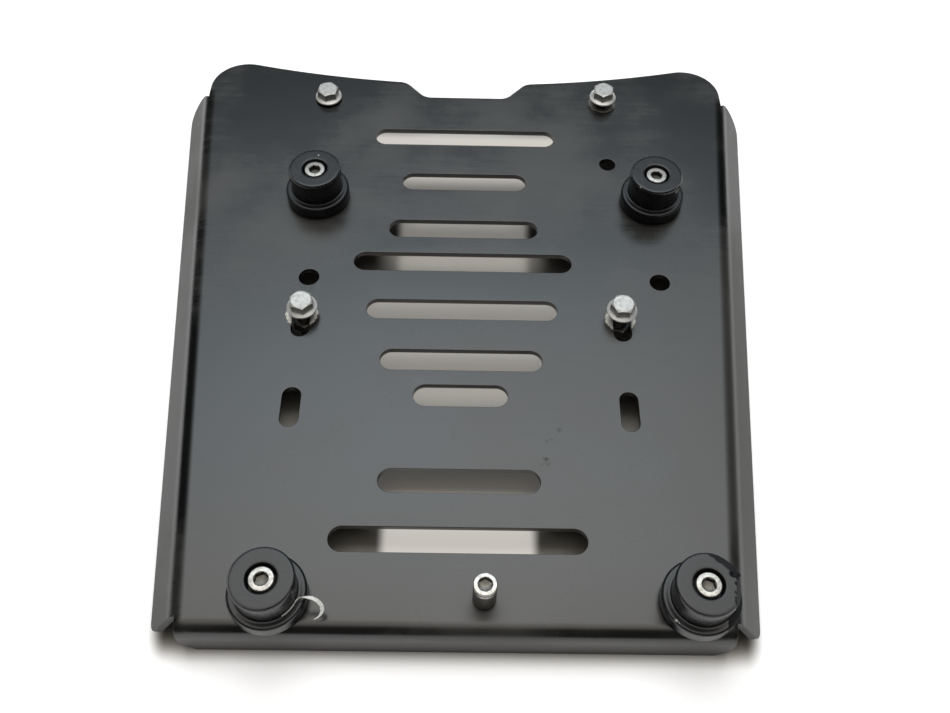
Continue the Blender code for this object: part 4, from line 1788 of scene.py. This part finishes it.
@dataclass
class Spigot:
    """The locating pin: a sleeve on the deck, held by a cap screw of its own diameter."""

    bore: float = 0.00325
    diameter: float = 0.0094
    edge: float = 0.0003
    head_height: float = 0.0032

    def sleeve(self, height: float) -> bpy.types.Mesh:
        """The sleeve, turned, with broken edges.

        Args:
            height: its height.

        Returns:
            The mesh.
        """
        outer = self.diameter / 2.0
        edge = self.edge
        rings = Rings(72)
        rings.profile([(self.bore + edge, height), (outer - edge, height)])
        rings.profile([(outer - edge * 0.3, height - edge * 0.3), (outer, height - edge)])
        rings.profile([(outer, edge), (outer - edge * 0.3, edge * 0.3), (outer - edge, 0.0)])
        rings.profile([(self.bore + edge, 0.0), (self.bore, edge), (self.bore, height - edge)])
        return rings.mesh("spigot_sleeve_body", closed=True)

    def build(self) -> None:
        """Makes the sleeve, its screw and the nut under the plate."""
        node = "spigot_sleeve"
        at = bottom_of(node)
        sleeve = self.sleeve(top_of(node).z - at.z)
        add_piece("spigot_tube", sleeve, DARK_ZINC, at, 0.0, node)
        node = "spigot_screw"
        name = "spigot_cap_screw"
        screw = CapScrew(self.diameter, self.head_height, 0.0022, 0.0250, teeth=44)
        at = top_of(node) - UP * self.head_height
        add_piece(name, screw.mesh(name), PIN_STEEL, at, 0.0, node)
        node = "spigot_nut"
        add_piece("spigot_hex_nut", HexNut().mesh(), SHADE_DARK_NUT_ZINC, top_of(node), 0.0, node)


@dataclass
class PeeledStrip:
    """The pale strip of flash that hugs the near left foot's waist, then curls out and down."""

    width: float = 0.0018
    thickness: float = 0.00030
    waist: float = 0.0130
    lift: float = 0.0084
    hugging: tuple[float, ...] = (-55.0, -48.0, -41.0, -34.0, -27.0, -20.0)
    away: tuple[Point, ...] = (
        (-13.6, 0.0012, 0.0004),
        (-12.4, 0.0028, 0.0010),
        (-11.2, 0.0050, 0.0008),
        (-11.4, 0.0068, 0.0001),
        (-12.6, 0.0084, -0.0011),
        (-15.0, 0.0097, -0.0024),
        (-19.0, 0.0102, -0.0036),
        (-23.5, 0.0097, -0.0044),
        (-28.0, 0.0085, -0.0048),
    )
    section: tuple[tuple[float, float], ...] = (
        (1.0, 0.5),
        (0.8, 1.0),
        (0.0, 1.15),
        (-0.8, 1.0),
        (-1.0, 0.5),
        (-1.0, -0.5),
        (-0.8, -1.0),
        (0.0, -0.85),
        (0.8, -1.0),
        (1.0, -0.5),
    )
    full_lean: float = math.radians(62.0)
    leans: tuple[float, float] = (0.36, 0.20)
    hugging_width: float = 0.45
    widens: tuple[float, float] = (0.40, 0.18)
    tip_width: float = 0.06
    tip_length: float = 0.20
    raggedness: float = 0.14
    ragged_waves: float = 30.0
    fine_steps: int = 6
    sharp_degrees: float = 50.0

    def route(self) -> list[Vector]:
        """The strip's middle line from the foot's axis: round the waist, then away from it.

        Returns:
            The line's points.
        """
        hugging = [(degrees, 0.0, 0.0) for degrees in self.hugging]
        points = [
            polar(self.waist + away, math.radians(degrees), self.lift + rise)
            for degrees, away, rise in (*hugging, *self.away)
        ]
        return smooth_curve(points, self.fine_steps)

    def ring(self, point: Vector, along: Vector, share: float) -> list[Vector]:
        """The strip's section at one point.

        Args:
            point: the point of the middle line.
            along: the line's direction there.
            share: how far along the strip it lies, from 0 to 1.

        Returns:
            The section's corners.
        """
        across = along.cross(UP).normalized()
        lean = self.full_lean * ramp(share, *self.leans)
        wide = UP * math.cos(lean) + across * math.sin(lean)
        thin = along.cross(wide)
        ragged = self.raggedness * noise.noise(Vector((share * self.ragged_waves, 0.0, 0.0)))
        swell = self.hugging_width + (1.0 - self.hugging_width) * ramp(share, *self.widens)
        pointed = self.tip_width + (1.0 - self.tip_width) * ramp(1.0 - share, 0.0, self.tip_length)
        half_width = self.width / 2.0 * (1.0 + ragged) * swell * pointed
        half_thin = self.thickness / 2.0
        return [
            point + wide * half_width * side + thin * half_thin * level
            for side, level in self.section
        ]

    def build(self) -> None:
        """Makes the strip with its ragged edges."""
        route = self.route()
        last = len(route) - 1
        sections = []
        for i, point in enumerate(route):
            along = (route[min(i + 1, last)] - route[max(i - 1, 0)]).normalized()
            sections.append(self.ring(point, along, i / last))
        shape = skinned(sections, closed=False, capped=True)
        mesh = smooth_mesh(shape, "peeled_strip_body", self.sharp_degrees)
        add_piece("peeled_flash", mesh, FLASH, bottom_of("foot_near_left"), 0.0, "peeled_strip")


@dataclass
class Studio:
    """A white floor, an overhead lamp, a soft sky and the camera of the photograph."""

    camera_place: Point = (0.001073, -0.284665, 0.398295)
    tilt: float = math.radians(56.39)
    yaw: float = math.radians(1.187)
    roll: float = math.radians(-1.883)
    focal_pixels: float = 997.358
    image_width: int = 950
    sensor: float = 36.0
    clip: tuple[float, float] = (0.01, 50.0)
    floor_size: float = 8.0
    floor_rim: float = 0.05
    floor_gap: float = 0.0002
    floor_white: Colour = (0.76, 0.76, 0.76)
    # The floor's beige under the plate, darker than the white beyond as painted shade.
    beige_floor_and_painted_shade: Colour = (0.31, 0.295, 0.27)
    # The tint of the painted light on the floor under the plate.
    painted_light_tint: Colour = (1.0, 0.955, 0.89)
    floor_lift: float = 0.28
    outline_shift: float = 0.0170
    outline_taper: float = 0.100
    outline_half_width: float = 0.1310
    outline_half_length: float = 0.1420
    outline_end_share: float = 0.75
    outline_softness: float = 0.008
    slots_reach: float = 0.13
    # Painted light: how strongly the floor glows under the slots, from the near edge to the far
    # one.
    slot_light: tuple[tuple[float, float], ...] = (
        (0.00, 0.04),
        (0.03, 0.52),
        (0.11, 0.46),
        (0.15, 0.07),
        (0.24, 0.07),
        (0.30, 0.13),
        (0.36, 0.13),
        (0.40, 0.24),
        (0.52, 0.24),
        (0.60, 0.12),
        (0.66, 0.12),
        (0.71, 0.20),
        (0.84, 0.18),
        (0.92, 0.55),
        (0.97, 0.62),
    )
    # The band of painted light under the slots: its soft edge and how it widens.
    strip_edge: tuple[float, float] = (0.0300, 0.0355)
    strip_widening: tuple[tuple[float, float], ...] = (
        (0.12, 0.000),
        (0.20, 0.021),
        (0.56, 0.021),
        (0.59, 0.000),
        (0.76, 0.000),
        (0.80, 0.021),
    )
    lamp_size: float = 1.1
    lamp_height: float = 1.25
    lamp_power: float = 15.0
    lamp_back: float = 0.42
    cool: Colour = (0.89, 1.0, 1.07)
    warm: Colour = (1.05, 1.0, 0.93)
    sky_gain: float = 2.5
    sky_floor: float = 0.015
    sky_levels: tuple[tuple[float, float], ...] = (
        (0.0, 0.03),
        (34.0, 0.03),
        (42.0, 0.10),
        (48.0, 0.42),
        (54.0, 0.86),
        (57.0, 1.0),
        (66.0, 1.0),
        (73.0, 0.80),
        (84.0, 0.64),
        (98.0, 0.52),
        (110.0, 0.36),
        (120.0, 0.09),
        (130.0, 0.035),
        (150.0, 0.030),
        (172.0, 0.020),
    )
    overhead: tuple[float, float] = (0.68, 0.95)
    overhead_relief: float = 0.8
    side_fall: tuple[float, float] = (0.04, 0.62)
    room_edge: tuple[float, float] = (0.35, 0.90)
    horizon: tuple[float, float] = (-0.02, 0.10)
    warm_side: tuple[float, float] = (0.32, 0.42)

    def camera(self) -> None:
        """Places the camera as the photograph's was."""
        forward = Vector(
            (
                math.sin(self.yaw) * math.cos(self.tilt),
                math.cos(self.yaw) * math.cos(self.tilt),
                -math.sin(self.tilt),
            )
        )
        right = Vector((math.cos(self.yaw), -math.sin(self.yaw), 0.0))
        down = forward.cross(right)
        rolled_right = right * math.cos(self.roll) + down * math.sin(self.roll)
        rolled_down = down * math.cos(self.roll) - right * math.sin(self.roll)
        matrix = Matrix((rolled_right, -rolled_down, -forward)).transposed().to_4x4()
        matrix.translation = Vector(self.camera_place)
        data = bpy.data.cameras.new("photo_camera")
        data.sensor_width = self.sensor
        data.lens = self.focal_pixels / self.image_width * self.sensor
        data.clip_start, data.clip_end = self.clip
        camera = new_object("photo_camera", data)
        camera.matrix_world = matrix
        bpy.context.scene.camera = camera

    def floor(self) -> None:
        """Lays the pale floor, a shallow dish that rises far outside the view."""
        rings = Rings(64)
        rings.tip(0.0)
        reach = self.floor_size / 2.0
        rings.profile([(reach * share, 0.0) for share in (0.1, 0.4, 0.8)])
        rings.ring(reach, self.floor_rim)
        floor = new_object("studio_floor", rings.mesh("studio_floor"))
        floor.location.z = -self.floor_gap
        floor.data.materials.append(self.floor_material())

    def floor_material(self) -> bpy.types.Material:
        """White and lifted past the plate; beige with painted shade under it, and painted light
        under the slots.

        Returns:
            The material.
        """
        material = bpy.data.materials.new("studio_floor_white")
        material.use_nodes = True
        nodes = Nodes(material.node_tree)
        open_floor = nodes.rise(self.past_plate(nodes), 0.0, self.outline_softness)
        colour = nodes.blend(open_floor, self.beige_floor_and_painted_shade, self.floor_white)
        diffuse = nodes.add("ShaderNodeBsdfDiffuse", None, {"Color": colour})
        # Past the plate the white lift; under it the painted light of the slots.
        lift = (open_floor * self.floor_lift) | (self.slot_glow(nodes) * (1.0 - open_floor))
        glow_tint = nodes.blend(open_floor, self.painted_light_tint, (1.0, 1.0, 1.0))
        inputs = {"Color": glow_tint, "Strength": self.seen_share(nodes) * lift}
        glow = nodes.add("ShaderNodeEmission", None, inputs)
        both = nodes.add("ShaderNodeAddShader", None, {0: diffuse, 1: glow})
        nodes.add("ShaderNodeOutputMaterial", None, {"Surface": both})
        return material

    def slot_glow(self, nodes: Nodes) -> Signal:
        """The painted light on the floor under the slots, from the near edge to the far one.

        Args:
            nodes: the floor material's nodes.

        Returns:
            Its strength at each point of the floor.
        """
        place = nodes.add("ShaderNodeSeparateXYZ", None, {0: nodes.place()})
        ends = {0: place[1], 1: -self.slots_reach, 2: self.slots_reach}
        along = nodes.add("ShaderNodeMapRange", None, ends)
        wider = nodes.curve(along, self.strip_widening)
        across = nodes.maths("ABSOLUTE", place[0]) - wider
        return nodes.curve(along, self.slot_light) * nodes.fall(across, *self.strip_edge)

    def past_plate(self, nodes: Nodes) -> Signal:
        """How far the floor lies outside the plate's tapered outline, less along Y.

        Args:
            nodes: the floor material's nodes.

        Returns:
            The distance, 0 under the plate.
        """
        place = nodes.add("ShaderNodeSeparateXYZ", None, {0: nodes.place()})
        along = place[1] + self.outline_shift
        across = nodes.maths("ABSOLUTE", place[0]) - along * self.outline_taper
        beside = (across - self.outline_half_width) | 0.0
        beyond = (nodes.maths("ABSOLUTE", along) - self.outline_half_length) | 0.0
        beyond = beyond * self.outline_end_share
        return nodes.maths("SQRT", beside * beside + beyond * beyond)

    def seen_share(self, nodes: Nodes) -> Signal:
        """1 for rays of the camera, of gloss and of transmission, and 0 for the others."""
        path = nodes.add("ShaderNodeLightPath")
        return path["Is Camera Ray"] | path["Is Glossy Ray"] | path["Is Transmission Ray"]

    def lamp(self) -> None:
        """Hangs the large soft lamp overhead, which lights without showing in gloss."""
        data = bpy.data.lights.new("overhead_softbox", "AREA")
        data.shape = "SQUARE"
        data.size = self.lamp_size
        data.energy = self.lamp_power
        lamp = new_object("overhead_softbox", data)
        lamp.location = (0.0, self.lamp_back, self.lamp_height)
        lamp.visible_glossy = False

    def sky(self) -> None:
        """Lights from all round: bright high over the far side, dim at the horizon."""
        world = bpy.data.worlds.new("light_tent")
        bpy.context.scene.world = world
        world.use_nodes = True
        nodes = Nodes(world.node_tree)
        direction = nodes.add("ShaderNodeTexCoord")
        split = nodes.add("ShaderNodeSeparateXYZ", None, {0: direction})
        x, y, z = (split[i] for i in range(3))
        round_over = nodes.maths("ARCTAN2", z, y) / math.pi
        levels = [(degrees / 180.0, level) for degrees, level in self.sky_levels]
        aside = nodes.maths("ABSOLUTE", x)
        low = 1.0 - self.overhead_relief * nodes.rise(z, *self.overhead)
        sideways = 1.0 - nodes.rise(aside, *self.side_fall) * low
        indoors = nodes.fall(aside, *self.room_edge) * nodes.rise(z, *self.horizon)
        strength = nodes.curve(round_over, levels) * sideways * indoors
        strength = strength * self.sky_gain + self.sky_floor
        tint = nodes.blend(nodes.rise(round_over, *self.warm_side), self.cool, self.warm)
        seen = nodes.add("ShaderNodeLightPath")
        studio_light = nodes.add("ShaderNodeBackground", None, {0: tint, 1: strength})
        white = nodes.add("ShaderNodeBackground", None, {0: (1.0, 1.0, 1.0, 1.0), 1: 1.0})
        mixed = nodes.add("ShaderNodeMixShader", None, {0: seen, 1: studio_light, 2: white})
        nodes.add("ShaderNodeOutputWorld", None, {"Surface": mixed})

    def build(self) -> None:
        """Sets up the studio."""
        bpy.context.scene.view_settings.view_transform = "Standard"
        self.camera()
        self.floor()
        self.lamp()
        self.sky()


def main() -> None:
    """Loads the frame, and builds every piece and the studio."""
    logging.basicConfig(level=logging.INFO, format="%(name)s: %(message)s", stream=sys.stdout)
    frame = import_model()
    LOG.info("the frame holds %d nodes", len(frame["nodes"]))
    for assembly in (FoldedSheet(), RubberFeet(), LooseBolts(), Spigot(), PeeledStrip(), Studio()):
        assembly.build()


if __name__ == "__main__":
    main()
